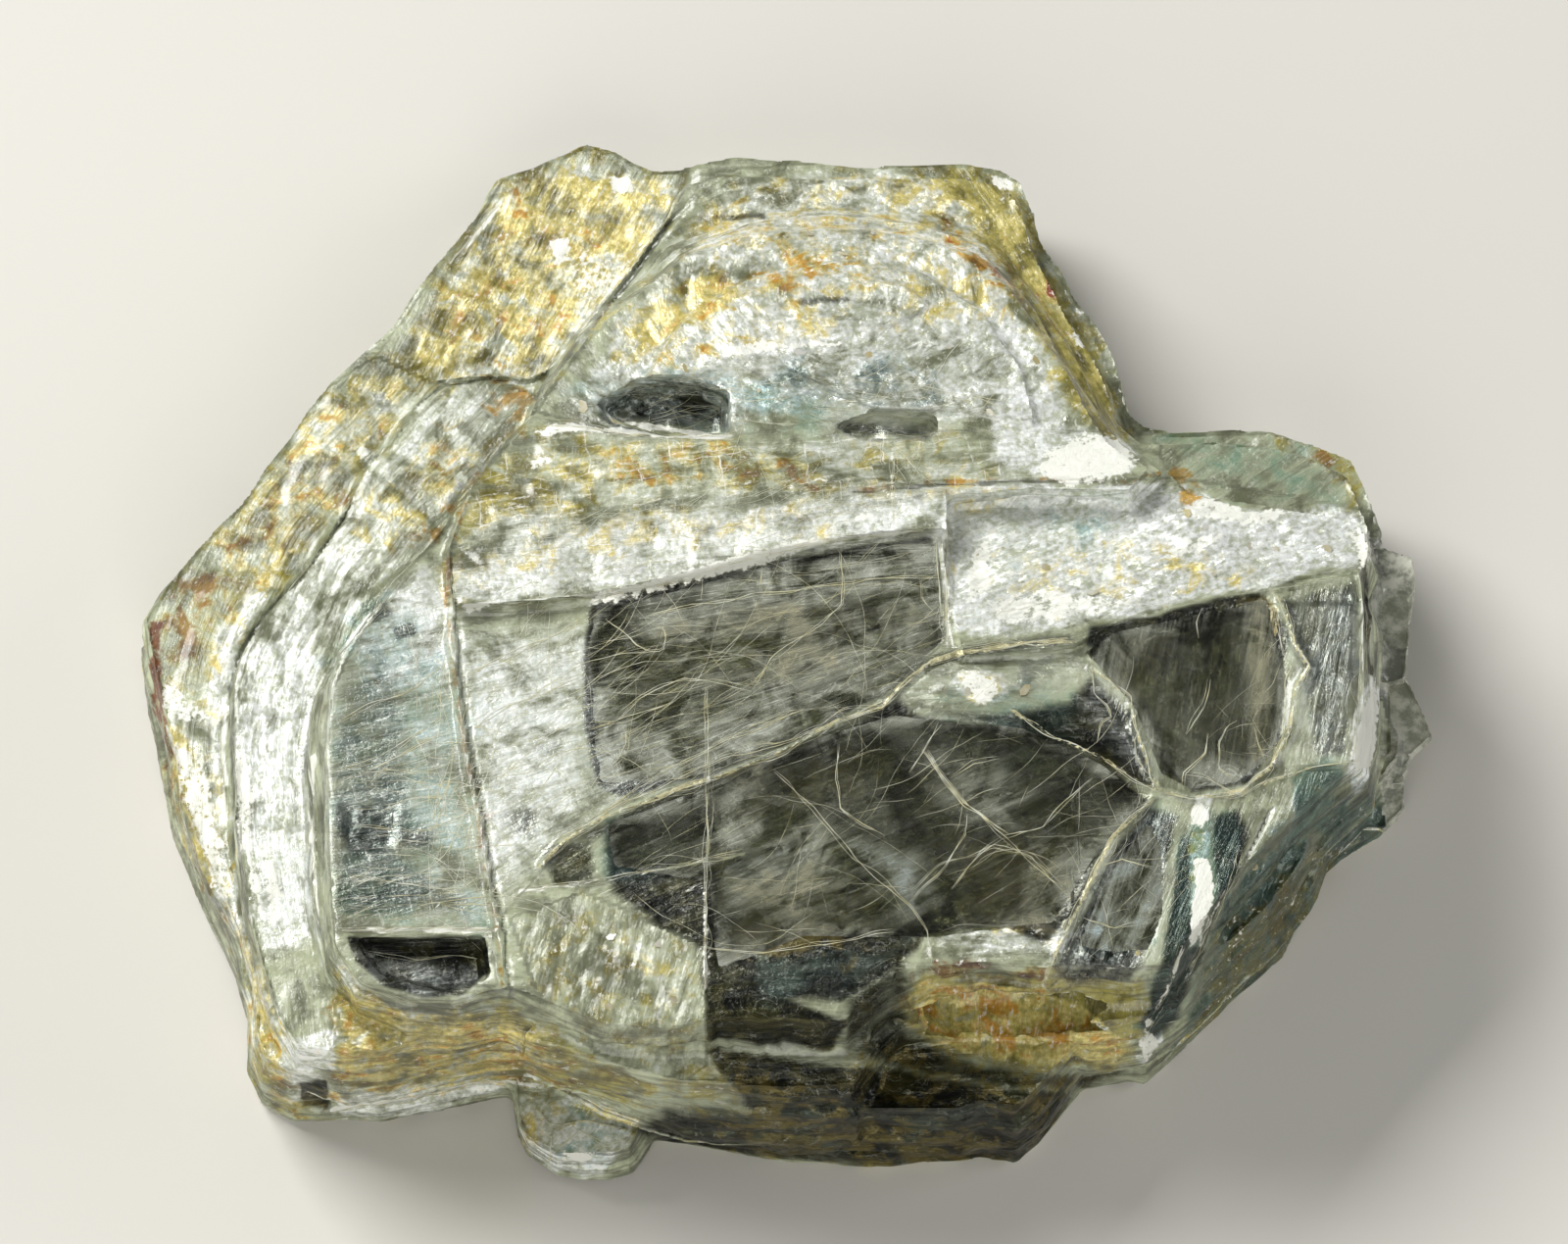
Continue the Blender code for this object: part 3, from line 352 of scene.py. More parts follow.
PATCHES["blue"] = [
    (0.9, 2, (-6, -23, 0, -22, 5, -24, 6, -28, 0, -31, -6, -29)),
    (0.6, 1.5, (37, -18, 39.5, -20, 37, -32.5, 34, -35, 28.5, -35.5, 30, -29, 33, -23)),
    (0.6, 2, (-4, -33, 12, -32, 6, -38, -2, -38)),
    (0.6, 2, (-24, 24, -15, 26, -4, 25, 5, 23, 5, 19, -6, 19, -18, 19)),
    (0.64, 2.5, (-46, -1, -40, 3, -33, -5, -29, -31, -45, -31, -46, -17)),
    (0.5, 2, (0, 27, 16, 27, 18, 21, 5, 21, -4, 24)),
    (0.45, 1.5, (38, 19, 45, 19.5, 53, 18.5, 57, 15, 57, 11.5, 46, 12, 42.5, 13.5)),
    (0.85, 2, (-18, -20, -11, -20, -10, -24, -15, -27, -18, -26)),
    (0.55, 2, (15, -7, 30, -7, 30, -16, 18, -15, 14, -11)),
    (0.9, 2, (6, -22, 14, -24, 16, -27, 13, -30, 8, -27)),
    (0.85, 1, (43, -19.5, 46, -19, 47, -21.5, 44, -28.5, 42, -35, 39.5, -40.5, 37, -43, 36, -40.5,
     37.5, -34.5, 40, -21.5)),
    (0.9, 1, (51, -15.5, 54.5, -14, 57, -15.5, 55, -21.5, 52.5, -24.5, 51, -21.5)),
    (0.35, 2, (50, 2, 58, 4, 58, -7, 57, -14, 54, -14, 52, -7)),
    (0.3, 2, (24, 13, 34, 12, 33, 7, 24, 6)),
    (0.35, 2, (-27, -48, -20, -49, -14, -51, -18, -57, -24, -57, -26, -54)),
    (0.4, 2, (-20, -7, -16, -7, -15, -13, -19, -14)),
    (0.85, 3, (43, -29, 50, -20, 60, -16, 64, -22, 53, -33, 49, -39, 40, -43)),
    (0.45, 2, (-16, -49, -4, -48, 20, -48, 26, -52, 0, -56)),
    (0.3, 2, (30, -46, 26, -50, 16, -47, 20, -45)),
]
PATCHES["haze"] = [
    (0.26, 2.5, (-46, -7, -43, -2, -39, 3, -35, 6, -34, 3, -33, -5, -29, -31, -38, -31, -39, -25, -46, -25,
     -46, -17)),
    (0.42, 1.5, (-38, -5.5, -34, -5.5, -30.5, -19.5, -29, -30, -36, -30)),
    (0.55, 2, (-33, -1, -20, -1, -20, -7, -16, -13, -24, -24, -28, -27, -30, -27, -33, -5)),
    (0.23, 1, (-20, -1.5, -19, 1.5, 8, 7, 14.5, 8, 16, -2, 14, -4, 10.5, -7, 2, -11.5, -8, -15.5, -16, -18,
     -19, -16.5, -20, -10.5, -20.5, -5.5)),
    (0.8, 2, (-20, -6, -18, -6, -15, -10, -16, -16, -19, -17)),
    (0.55, 1.8, (-20, -19.5, -20, -15.5, -12, -13.5, 10.5, -5.5, 10.5, -7, 2, -11.5, -8, -15.5, -16, -18)),
    (0.44, 2, (-8, 4, 0, 6, 8, 7, 16, 9, 16, 3, -8, 1)),
    (0.3, 2.5, (-16, -5, 10, 1, 15, -1, 8, -6, -10, -7)),
    (0.3, 2.5, (-6, -17, -3, -17, 5, -21, 8, -24, 6, -29, 0, -30, -6, -28, -8, -23)),
    (0.28, 2, (6, -22, 14, -24, 16, -27, 13, -30, 8, -27)),
    (0.05, 1, (-18, -20.5, -10, -17, -1, -14.5, 5, -11, 11.5, -7.5, 14, -9.5, 29, -12.5, 35, -16, 37, -18,
     32.5, -22, 29, -29.5, 26, -32.5, 20, -30, 15, -30.5, 13, -33, 10, -35.5, 6, -37.5, 2, -37.5, -8, -36.5,
     -8.5, -32.5, -13, -30.5, -17.5, -27)),
    (0.2, 2, (15, -13, 21, -14, 25, -17, 23, -21, 16, -19)),
    (0.22, 2, (25, -23, 30, -21, 33, -22, 27, -32, 24, -31)),
    (0.05, 1, (31, -0.5, 38, 1, 44, 2.5, 48.5, 3, 51, -1.5, 51, -7.5, 50.5, -11.5, 47, -16.5, 41, -17.5,
     38.5, -14.5, 36, -8, 33, -4.5, 30.5, -2.5)),
    (0.3, 1, (46.5, 2.5, 49, 3, 49.5, -4.5, 48.5, -13.5, 47, -13.5, 47, -5.5)),
    (0.22, 1.6, (30, -1.5, 35, 0, 38, -0.5, 35, -4.5, 32, -5.5)),
    (0.35, 1.6, (40, -15.5, 43, -13.5, 49, -14.5, 47, -16.5, 41.5, -17.5)),
    (0.4, 1.5, (-56.5, -10.5, -50, -10.5, -48, -21.5, -47, -30.5, -52, -31.5, -55, -22.5)),
    (0.36, 1.5, (36.5, -18.5, 39.5, -20, 37, -32.5, 35, -36, 28.5, -36.5, 27, -35, 33, -23)),
    (0.55, 1.2, (-23, 23.5, -16, 25.5, -4, 26, -4, 19.5, -16, 19, -20, 19.5)),
    (0.6, 1.2, (3, 22.5, 16, 22.5, 17, 18.5, 5, 18)),
    (0.4, 1.5, (-10, 26, -4, 26, -5.5, 19.5, -10, 22.5)),
    (0.4, 1.5, (30, -5.5, 33, -4.5, 36, -8.5, 38, -15.5, 35, -14.5, 31, -9.5)),
    (0.45, 1, (-43, -33, -32, -35, -30, -36.5, -36, -37.5, -41, -35.5)),
    (0.45, 2, (50, 2, 58, 4, 58, -7, 57, -14, 52, -14, 52, -7)),
    (0.28, 2, (10, -7, 14, -4, 20, -3, 26, -2, 30, -3, 30, -6, 26, -8, 20, -10, 15, -10)),
    (0.4, 2, (6, 13, 26, 13, 26, 1, 16, -1, 16, 9)),
]
PATCHES["crumple"] = [
    (0.75, 1.5, (6, -37, 13, -32, 13, -41, 20, -45, 36, -45.5, 26, -52.5, 10, -45.5)),
    (1, 2, (16, 13, 26, 14, 40, 13, 46, 11, 58, 11, 60, 7, 58, 6, 53, 5, 30, -1, 20, -2, 17, -1, 16, 7)),
    (1, 1.5, (-27.5, -29.5, -20, -27, -10, -31, -8, -32.5, -8, -41.5, -10, -45, -14, -44.5, -20, -41,
     -24, -37.5, -27, -34)),
    (0.8, 2, (-64, -11, -61, -10, -59, -16, -58, -24, -58, -29, -60, -27, -63, -17)),
    (0.4, 2.5, (-40, 23, -40, 28, -30, 45, -20, 49, -16, 47, -12, 46, -11, 43, -22, 28, -26, 25, -30, 26)),
    (0.55, 2.5, (-20, 25, -16, 32, -8, 44, 5, 47, 20, 43, 32, 19, 5, 21, -6, 19, -24, 19)),
    (0.8, 1.5, (13.5, -29, 20, -28.5, 28, -30, 36, -32.5, 36, -35, 28, -34, 16, -33.5)),
    (0.8, 1.5, (12.5, -37.5, 14.5, -35, 28, -35.5, 36.5, -36.5, 36, -42.5, 33, -46, 22, -44.5, 16, -43,
     13, -40.5)),
    (0.5, 2, (-56, -30, -54, -33, -51, -41, -46, -37, -24, -41, -11, -48, -24, -47, -28, -47, -46, -51,
     -51, -50, -54, -47)),
    (0.85, 2, (-16, -48, -8, -44, 30, -48, 26, -56, -4, -55)),
    (0.95, 1.5, (40, -32.5, 46, -22.5, 53, -21.5, 58, -26.5, 49, -38.5, 42, -42.5)),
    (0.6, 0.8, (10.5, -7, 14, -4, 20, -2.5, 26, -2.1, 29.5, -2.8, 30, -5.5, 26, -8, 20, -10, 15, -9.6)),
    (0.6, 1.5, (-51.5, 7.5, -55, 4, -57.5, -0.5, -59, -6.5, -59, -14.5, -58, -21.5, -56.5, -20.5,
     -50, -21.5, -48, -6.5, -40, 7.5)),
]
PATCHES["streak"] = [
    (1, 1, (-24, -23.5, -10, -16.5, 10.5, -7, 20, -2, 29.5, -1.5, 29.5, -3, 20, -4, 10.5, -9, -10, -18,
     -23, -24)),
    (1, 1.5, (-20, -1.5, -19, 1.5, 8, 7, 14.5, 8, 16, -2, 10.5, -7, 2, -11.5, -8, -15.5, -16, -18,
     -19, -16.5, -20, -10.5)),
    (0.8, 2.5, (-30, 9, -20, 11, -4, 12, 6, 13, 16, 14, 17, 10, -16, 3, -30, 1, -33, 3)),
    (0.5, 2, (-46, -7, -34, -2, -30, -30, -44, -30, -46, -17)),
    (0.6, 2, (-33, -1, -20, -1, -20, -19, -29, -30)),
    (0.5, 1.5, (-17, -22.5, -4, -21.5, 10, -22.5, 14, -26.5, 6, -30.5, -8, -28.5)),
]
PATCHES["grid"] = [
    (1, 1.5, (-34, 1.5, -34, 7.5, -31.5, 14, -25.5, 21, -16, 19, -5.5, 18.5, 5, 19.5, 26, 19.5, 26, -1.5,
     16, -1.5, 15.5, 9, 6, 8.5, -10, 4.5, -20, 3)),
    (0.5, 2, (-46, -6, -40, 3, -35, 6, -29, -31, -45, -31)),
    (0.5, 2, (-4, 26, 16, 26, 20, 19, 5, 21)),
]

# Long narrow marks: strength, half width in millimetres, path as drawn.
LINES = {}
# Painted shade: dark lines down the grooves between packets of leaves, where shade falls; the relief also
# sinks them a little.
LINES["groove"] = [
    (0.4, 0.19, (-26, 24.4, -30, 25.1, -35, 24.2, -38, 21.9, -40, 18.4, -42, 16.4, -45, 10.9)),
    (0.8, 0.3, (-45, 10.9, -49, 5, -53, 0.9, -55.5, -3, -56.4, -6.6, -56.4, -12.6, -55.6, -19.6,
     -54.4, -29.6)),
    (0.7, 0.33, (-25.5, 22.9, -21, 28.4, -18, 32.4, -15, 36.4, -12, 41, -10, 43)),
    (0.8, 0.19, (-33.2, 2.2, -32.8, -4.5, -31.6, -12.6, -30.1, -19.6, -29.1, -26.6, -28.1, -30.6,
     -27.6, -36.5, -27.4, -37.5)),
    (0.6, 0.17, (7, 13.2, 15, 13.9, 25, 14.4, 30, 14.4, 35, 13.9, 39, 15)),
    (0.6, 0.17, (-44.5, -31, -29, -31)),
    (0.7, 0.19, (36.5, -44, 40, -36.5, 44, -28.6, 46.5, -23.6, 49, -18.6)),
    (0.6, 0.17, (30, -31.6, 28.5, -35, 26.5, -37)),
    (0.5, 0.17, (-46, -46.1, -45.5, -50.5)),
    (0.4, 0.17, (-45, 18.4, -37, 11.4, -31, 6)),
]
LINES["ochre"] = [
    (0.6, 0.3, (-31.5, 14.4, -33.8, 7.4, -34.2, 2.4, -33.4, -4.5, -32.2, -12.6, -30.8, -19.6, -29.8, -26.6,
     -28.8, -30.6, -28.3, -36.5)),
    (0.6, 0.24, (7, 13.4, 15, 14.2, 25, 14.6, 30, 14.6, 35, 14.2, 39, 15.4)),
    (0.55, 0.24, (-32, -30.8, -28.8, -31)),
]
# White rims of broken leaves, in part painted light: white painted along walls that face away from the key
# light, such as the crest over the left window.
LINES["pale"] = [
    (0.55, 0.17, (-33.5, 1.4, -30, 1.2, -25, 2.2, -20, 2.6, -15, 3.4, -10, 4.4, -5, 6, 0, 7.4, 6, 8.6,
     12, 8.9, 16, 9.4)),
    (0.9, 0.27, (-24, 19.9, -20, 19.8, -16, 19.2, -10, 18.8, -5.5, 18.8)),
    (0.85, 0.21, (-46, -49.8, -38, -48.5, -32, -47, -28, -46.5, -24, -47.4)),
    (0.8, 0.21, (-44.5, -30.8, -29, -30.8)),
    (0.7, 0.21, (-7.8, -6.6, -7.6, -16.6, -7.8, -26.6, -7.8, -36.5)),
    (0.8, 0.21, (16.6, 9.9, 16.6, 3.4, 16.4, -2.5)),
    (0.6, 0.18, (-21.5, 17.9, -22.5, 11.4, -23, 7.4)),
    (0.6, 0.18, (11, 9.4, 11, 14.4, 11.2, 17.9)),
    (0.7, 0.18, (58.5, 5.4, 58.6, -0.6, 58, -6.6, 57.2, -13.6)),
    (0.7, 0.18, (-26.5, -27, -16, -25.6, -4, -23)),
    (0.6, 0.3, (-46.8, -6.6, -45.5, -3.8, -42.5, 0, -39.8, 3.4)),
    (0.6, 0.3, (-47.8, -13.6, -47.8, -21.6, -47, -30.6)),
    (0.7, 0.24, (-56.8, -8.6, -57.2, -12.6, -56.8, -19.6)),
    (0.8, 0.24, (-34.5, 37, -32, 40, -29.5, 43.4)),
    (0.6, 0.18, (-5.5, 23.6, -5.5, 18.9)),
    (0.7, 0.24, (40, -32.5, 38.5, -37.5, 36.5, -41.5)),
    (0.6, 0.21, (46, -22.6, 43, -30.6, 40.5, -36.5)),
]
LINES["wisp"] = [
    (1, 0.1, (5.8, 7.4, 5.9, 4.4, 5.8, 1.8, 3.7, -0.2, 0.7, -2.2, -1.2, -3.8, -2.2, -5.2, -3.3, -6.8)),
    (1, 0.1, (-3.3, -6.8, -6, -6.2, -8, -6, -10, -5.8, -12.7, -6.8, -14.7, -7.8, -16.5, -9.6)),
    (0.8, 0.1, (-18, 0.4, -16.3, -0.8, -15, -2.2, -13.7, -2.8, -12.3, -2.8, -12, -1.6, -12.2, -0.6,
     -13.3, -0.2)),
    (1, 0.12, (-14, 0.6, -9.3, 1.8, -5.3, 2.2, -0.7, 3.1, 4, 3.5, 9, 4.2, 13.3, 4.4, 16, 4.6)),
    (0.7, 0.05, (-8.2, 4.2, -8.3, 2.2)),
    (0.7, 0.05, (-2.2, 6.4, -2.3, 3.1)),
    (0.7, 0.05, (13.7, 4.8, 13.8, 2.4, 15, 1.2)),
    (1.1, 0.08, (15.5, 8.9, 15.7, 5.4, 15.8, 1.2)),
    (1.1, 0.08, (16.7, 10.4, 16.5, 5.4, 16.3, -0.6)),
    (0.9, 0.1, (-19.7, -10.8, -16.7, -10, -13.5, -8.8, -11.3, -8)),
    (0.9, 0.1, (-16, -10.2, -15.7, -12.2, -16.5, -13.8, -18, -15.2)),
    (0.9, 0.15, (-19, -19.8, -12.7, -15.2, -7.3, -12.6, -2.7, -10.6, 2, -8.6)),
    (0.9, 0.15, (-23.3, -22.2, -19.3, -19.8, -12, -16.2, -6, -13.6, 0.7, -11.8, 6, -9.6, 10.5, -7.8)),
    (0.8, 0.1, (5.5, -12.2, 5.3, -15.8, 6, -18.6, 8, -20.2, 10, -21.6)),
    (0.9, 0.1, (14.5, -12.8, 16, -15.8, 18, -18.6, 20, -19.8, 22.5, -21.4)),
    (0.9, 0.1, (15.7, -10.2, 14, -13.2, 12.7, -15.2)),
    (0.8, 0.1, (18.3, -19.2, 18.3, -21.6, 16.3, -24.2, 14, -26.6, 13, -28)),
    (0.8, 0.1, (22, -21.6, 20, -23.2, 16.7, -26.6)),
    (0.9, 0.1, (43, -5.8, 42.3, -8.6, 41, -10.6, 40.5, -11.3)),
    (1, 0.1, (42.7, -11.2, 42.3, -13.2, 40.3, -15.2, 40.2, -16.6)),
    (0.9, 0.1, (40.3, -15.2, 42.7, -15.6, 45, -16.8, 46.7, -17.6)),
    (0.8, 0.1, (45.7, -10, 44.7, -10.6, 43.7, -12.2, 43.8, -14.6, 46, -15.8)),
    (0.7, 0.1, (47.3, -10.6, 47.7, -12.2, 48.3, -13.8)),
    (0.6, 0.1, (42.3, 1.4, 41.8, 0, 42, -1.6)),
    (0.9, 0.1, (31.3, -3.5, 31.3, -7.2, 32.7, -8.6, 33, -9.6, 32, -10.2, 31.7, -12.2)),
    (0.8, 0.1, (36.3, -10.2, 35.3, -11.8, 35.3, -13.6, 36.7, -15.2)),
    (0.9, 0.1, (49.8, 0.8, 50.3, -3.2, 51.3, -4.5, 50.7, -6.2, 50.7, -9.6, 50, -13.6)),
    (0.9, 0.1, (14, -12.8, 16, -15.6, 18, -18.2, 22, -21.2)),
    (0.7, 0.1, (16.7, -15.6, 19, -14.2, 21.7, -13.6)),
    (0.8, 0.1, (22, -21.6, 26, -20.6, 28.5, -18, 31, -15.6)),
    (0.8, 0.1, (58.7, 2.1, 59, -1.8, 58.7, -7.8)),
    (0.9, 0.12, (-45, -10, -41, -8, -37, -6.6, -34.5, -4.5)),
    (0.9, 0.12, (-45, -15, -40.5, -13.6, -36, -10.6, -34, -9)),
    (0.8, 0.12, (-43.5, -20.4, -41.5, -20.6, -39, -21)),
    (0.8, 0.12, (-42, -33, -37, -34, -33, -33.5, -30, -34)),
    (0.8, 0.12, (-44, -25.6, -40, -26, -35, -26.6, -32, -27)),
    (0.9, 0.12, (-32, -11, -28, -8.6, -23, -6.6, -20.2, -5.5)),
    (0.9, 0.12, (-32.5, -5.5, -28, -3.5, -24, -1.6, -20, 0.9)),
    (0.8, 0.12, (-8, -32.5, -2, -33, 5, -32, 11, -31)),
    (0.8, 0.12, (31, -24.6, 34, -23.6, 37, -24.6)),
    (0.8, 0.12, (30, -29.6, 33, -30.6, 36, -30)),
    (0.8, 0.12, (-25.5, -49, -24, -51, -21, -51.5, -24, -54.5)),
    (0.8, 0.12, (-21, -51.5, -18, -53, -16, -52.5)),
]
LINES["vein"] = [
    (0.8, 0.13, (14, -4.5, 18.3, -3.2, 24, -2.2, 28.7, -1.6)),
    (1, 0.11, (-25.5, -48.8, -23.5, -51.5, -24, -55)),
    (1, 0.11, (-23.5, -51.5, -20, -50.5, -16, -51.5)),
    (1, 0.16, (-24.5, -24.6, -22, -22, -18, -19.6, -10, -16.6, -1, -13.6, 5, -10, 10, -8.6, 11.5, -6.6,
     15, -4, 18, -3, 25, -2, 29.5, -2)),
    (1, 0.14, (31, -4.5, 35, -7.6, 35.5, -10.6, 37, -15.6, 38, -17)),
    (1, 0.14, (23, -9, 27, -11.6, 32, -13.6, 35, -15.6, 37.5, -17)),
    (1, 0.18, (37.2, -17.8, 33, -21.6, 31, -25.6, 29.5, -28.6, 27.5, -32.5, 26, -36.5)),
    (1, 0.16, (37.5, -17, 41, -17.8, 46, -17, 49, -14.6, 51, -10.6, 51.6, -6.6, 53, -4.5, 51.6, -2,
     50.2, 2.4, 49.2, 3.4)),
    (0.8, 0.13, (46, -17.4, 49, -16, 53, -14.6, 58.5, -14)),
    (0.7, 0.11, (-1, -15, 3, -18.6, 7, -23.6, 13, -28.6, 14.5, -31, 15, -34.5)),
    (0.7, 0.11, (14, -12.6, 18.5, -18.6, 22, -21.6, 28, -26.6)),
    (0.6, 0.11, (12.5, -27, 16, -24.4, 21, -22.4, 25, -23.4, 28, -27)),
]

# Beds of loose hairs: share of them, their direction and its spread in degrees, reach in millimetres,
# girth, outline as drawn.
HAIRS = [
    (0.22, 22, 14, 9, 1, (-20, -1.5, -16, 2, 0, 6, 15, 8, 16, -2, 10.5, -7, -8, -15.5, -19, -16.5)),
    (0.16, 28, 34, 7, 1, (-18, -20.5, 5, -11, 14, -9.5, 29, -12.5, 37, -18, 30.5, -26, 26, -32.5,
     6, -36.5, -8, -36.5, -16, -26.5)),
    (0.04, 60, 40, 4, 1, (39, -10.5, 50, -6.5, 50, -12.5, 46.5, -16.5, 40, -16.5)),
    (0.1, 60, 40, 4, 1.2, (30, -26.5, 35, -19.5, 39.5, -20.5, 37, -32.5, 28, -35.5)),
    (0.2, 6, 14, 5, 1.8, (-45, -14.5, -33, -10.5, -30, -26.5, -29, -30, -45, -30)),
    (0.12, 80, 12, 6, 1.6, (-38, -5.5, -33, -5.5, -29.5, -29.5, -36, -29.5)),
    (0.16, 25, 22, 7, 1.5, (-32.5, -1.5, -20, 1.5, -16, -12.5, -24, -22.5, -28.5, -26.5)),
    (0.1, 8, 10, 5, 1.6, (-24, 24, -5, 26, -5.5, 19.5, -18, 19)),
    (0.1, 8, 30, 5, 1.4, (0, 25.5, 20, 25.5, 20, 19, 2, 19.5)),
    (0.14, 14, 10, 9, 1.4, (-32, 7.5, -20, 11.5, 6, 13.5, 16, 11.5, -4, 6.5, -30, 1.5)),
]

# Which way streaks and fibres run, by region: kind, its angle, centre or path, outline as drawn.
FLOWS = [
    ("turned", 62, (-42, 27.4, -37, 34.4, -29.5, 45.4, -20, 50, -10, 46.4, -11, 40.4, -20, 29,
     -25.5, 23.4, -30, 25.1, -35, 24.2)),
    ("beside", [-20, 30.4, -26, 23.4, -35, 13.4, -43, 4.4, -47.8, -5.5, -49.5, -12.6, -48.8, -22.6,
                -46.5, -32.5, -45, -42.5], (-67, -0.6, -63.5, 4.4, -56, 13.4, -48, 23.4, -42, 27.4,
     -35, 24.2, -30, 25.1,
     -25.5, 23.4, -25.4, 21.9, -38.8, 3.8, -45.8, -7, -46.8, -15.6, -45.5, -31.6, -45, -40.5, -47, -50.5,
     -55, -46.5, -58, -31.6, -63.5, -12.6)),
    ("round", ((5, 33.6), 0.5), (-25.2, 21.4, -20, 29, -10, 46, -4, 47, 5, 47.6, 16, 47.4, 20, 43.4,
     26, 31.4, 32, 19.4, 16, 19.4, 5, 20.6, -5.5, 18.8, -16, 18.8)),
    ("turned", -58, (16, 47.4, 25, 47.4, 30, 34.4, 36, 19.4, 32, 19.4, 26, 31.4, 20, 43.4)),
    ("turned", 7, (-33.8, 1.4, -34.2, 7.4, -31.5, 13.9, -25.5, 20.9, -16, 18.8, -5.5, 18.8, 5, 20.6,
     16, 19.4, 32, 19.4, 39, 15.4, 26, 13.4, 17, 8.9, 6, 8.6, -10, 4.4, -20, 2.4)),
    ("turned", 19, (16.6, 12.9, 26, 13.9, 39, 15, 60, 11.4, 60, 6, 49, 3.6, 31, -1.6, 16, -2.5)),
    ("turned", 35, (38, 19.4, 60, 19.4, 60, 11.4, 39, 15)),
    ("turned", 12, (-45.5, -6.6, -43, -1.6, -39, 3.4, -35, 6.4, -33.8, 3.4, -33.2, -4.5, -32, -12.6,
     -30.5, -19.6, -29.5, -26.6, -28.8, -36.5, -45, -36.5, -46.5, -16.6)),
    ("fan", (41, 8.3), (-33.2, -0.6, -20, 2.4, -10, 4.2, 6, 8.4, 16.4, 8.9, 16.2, -2, 10.5, -7.2,
     -10, -16.6, -24, -24.6, -28.5, -29.6, -30.5, -19.6)),
    ("turned", 24, (-24, -24.6, -10, -16.6, 10.5, -7.2, 20, -10.6, 29.5, -13.6, 29, -29.6, 14, -30.6,
     -7.8, -36.5, -7.8, -32.5, -20, -27)),
    ("turned", 78, (29.5, -2, 49, 3.4, 60, 5.4, 60, -14.6, 52, -14.6, 44, -18, 38, -17.4)),
    ("turned", 76, (-27.5, -29.6, -20, -27, -7.8, -32.5, -7.8, -44.5, -10, -46, -16, -45, -24, -39.5)),
    ("turned", 68, (37.5, -17.8, 50, -14.6, 64, -15.6, 64, -22.6, 50, -40.5, 37, -46.5, 36, -36.5,
     26.8, -36.5, 29.5, -28.6)),
    ("turned", 82, (12, -37, 14.5, -35, 20, -35, 36.5, -36.5, 36, -42.5, 33, -45.8, 22, -44.4, 13, -40.5)),
    ("turned", 55, (-28, -47.5, -14, -49.5, -16, -56.5, -26, -56.5)),
]

# The mound beside the right window: centre as drawn, half lengths and height.
MOUND = ((19.5, -6.4), (9.5, 4.4), 0.9)

# Hollows half filled with broken leaves: rim as drawn, level of the mouth, share filled at left and right.
FILLED = [
    ([(-19.5, 22.2), (-15.0, 25.0), (-9.0, 24.8), (-5.6, 23.6), (-5.5, 19.2), (-12.0, 18.9), (-17.5, 20.2)],
     29.5, 0.85, 0.10),
    ([(4.6, 19.4), (9.0, 21.0), (15.4, 20.6), (15.6, 18.9), (8.0, 18.2)], 29.0, 0.9, 0.6),
    ([(-44.4, -18.0), (-39.2, -18.2), (-39.0, -22.6), (-43.8, -23.0)], 30.4, 1.2, 1.2),
]

# The eye that the leaves of the dome ring: centre as drawn, flattening up the drawing, ring spacing.
DOME_EYE = ((5.0, 33.6), 0.42, 3.6)
DOME_EDGE = [(-25.6, 21.6), (-20.0, 29.0), (-13.0, 40.0), (-8.0, 46.0), (5.0, 47.5), (20.0, 47.0),
             (27.0, 36.0), (34.0, 22.0), (37.0, 15.6), (35.0, 13.4), (16.0, 12.8), (7.0, 13.8), (-6.0, 17.6),
             (-18.0, 18.6)]
PAGE_SIDE = [(60.0, 9.0), (70.0, 9.0), (70.0, -22.0), (61.6, -22.0), (61.0, -16.0), (62.0, -12.0),
             (60.6, -7.0), (60.0, 0.0)]
CURTAIN = [(-8.5, -36.5), (8.0, -37.5), (9.0, -44.5), (-9.0, -44.0)]


def pairs(run):
    """A run of numbers as points: across, up, across, up and so on."""
    return list(zip(run[::2], run[1::2]))


def linear(hex_colour):
    """An sRGB hex colour as linear RGB."""
    parts = [int(hex_colour[i:i + 2], 16) / 255 for i in (1, 3, 5)]
    return tuple(c / 12.92 if c <= 0.04045 else ((c + 0.055) / 1.055) ** 2.4 for c in parts)


def tint(name, hex_colour, description):
    return bpy.props.FloatVectorProperty(name=name, description=description, subtype="COLOR", size=3,
                                         min=0.0, max=1.0, default=linear(hex_colour))


def length(name, default, description, least=0.0):
    return bpy.props.FloatProperty(name=name, description=description, default=default, min=least,
                                   precision=5, subtype="DISTANCE", unit="LENGTH")


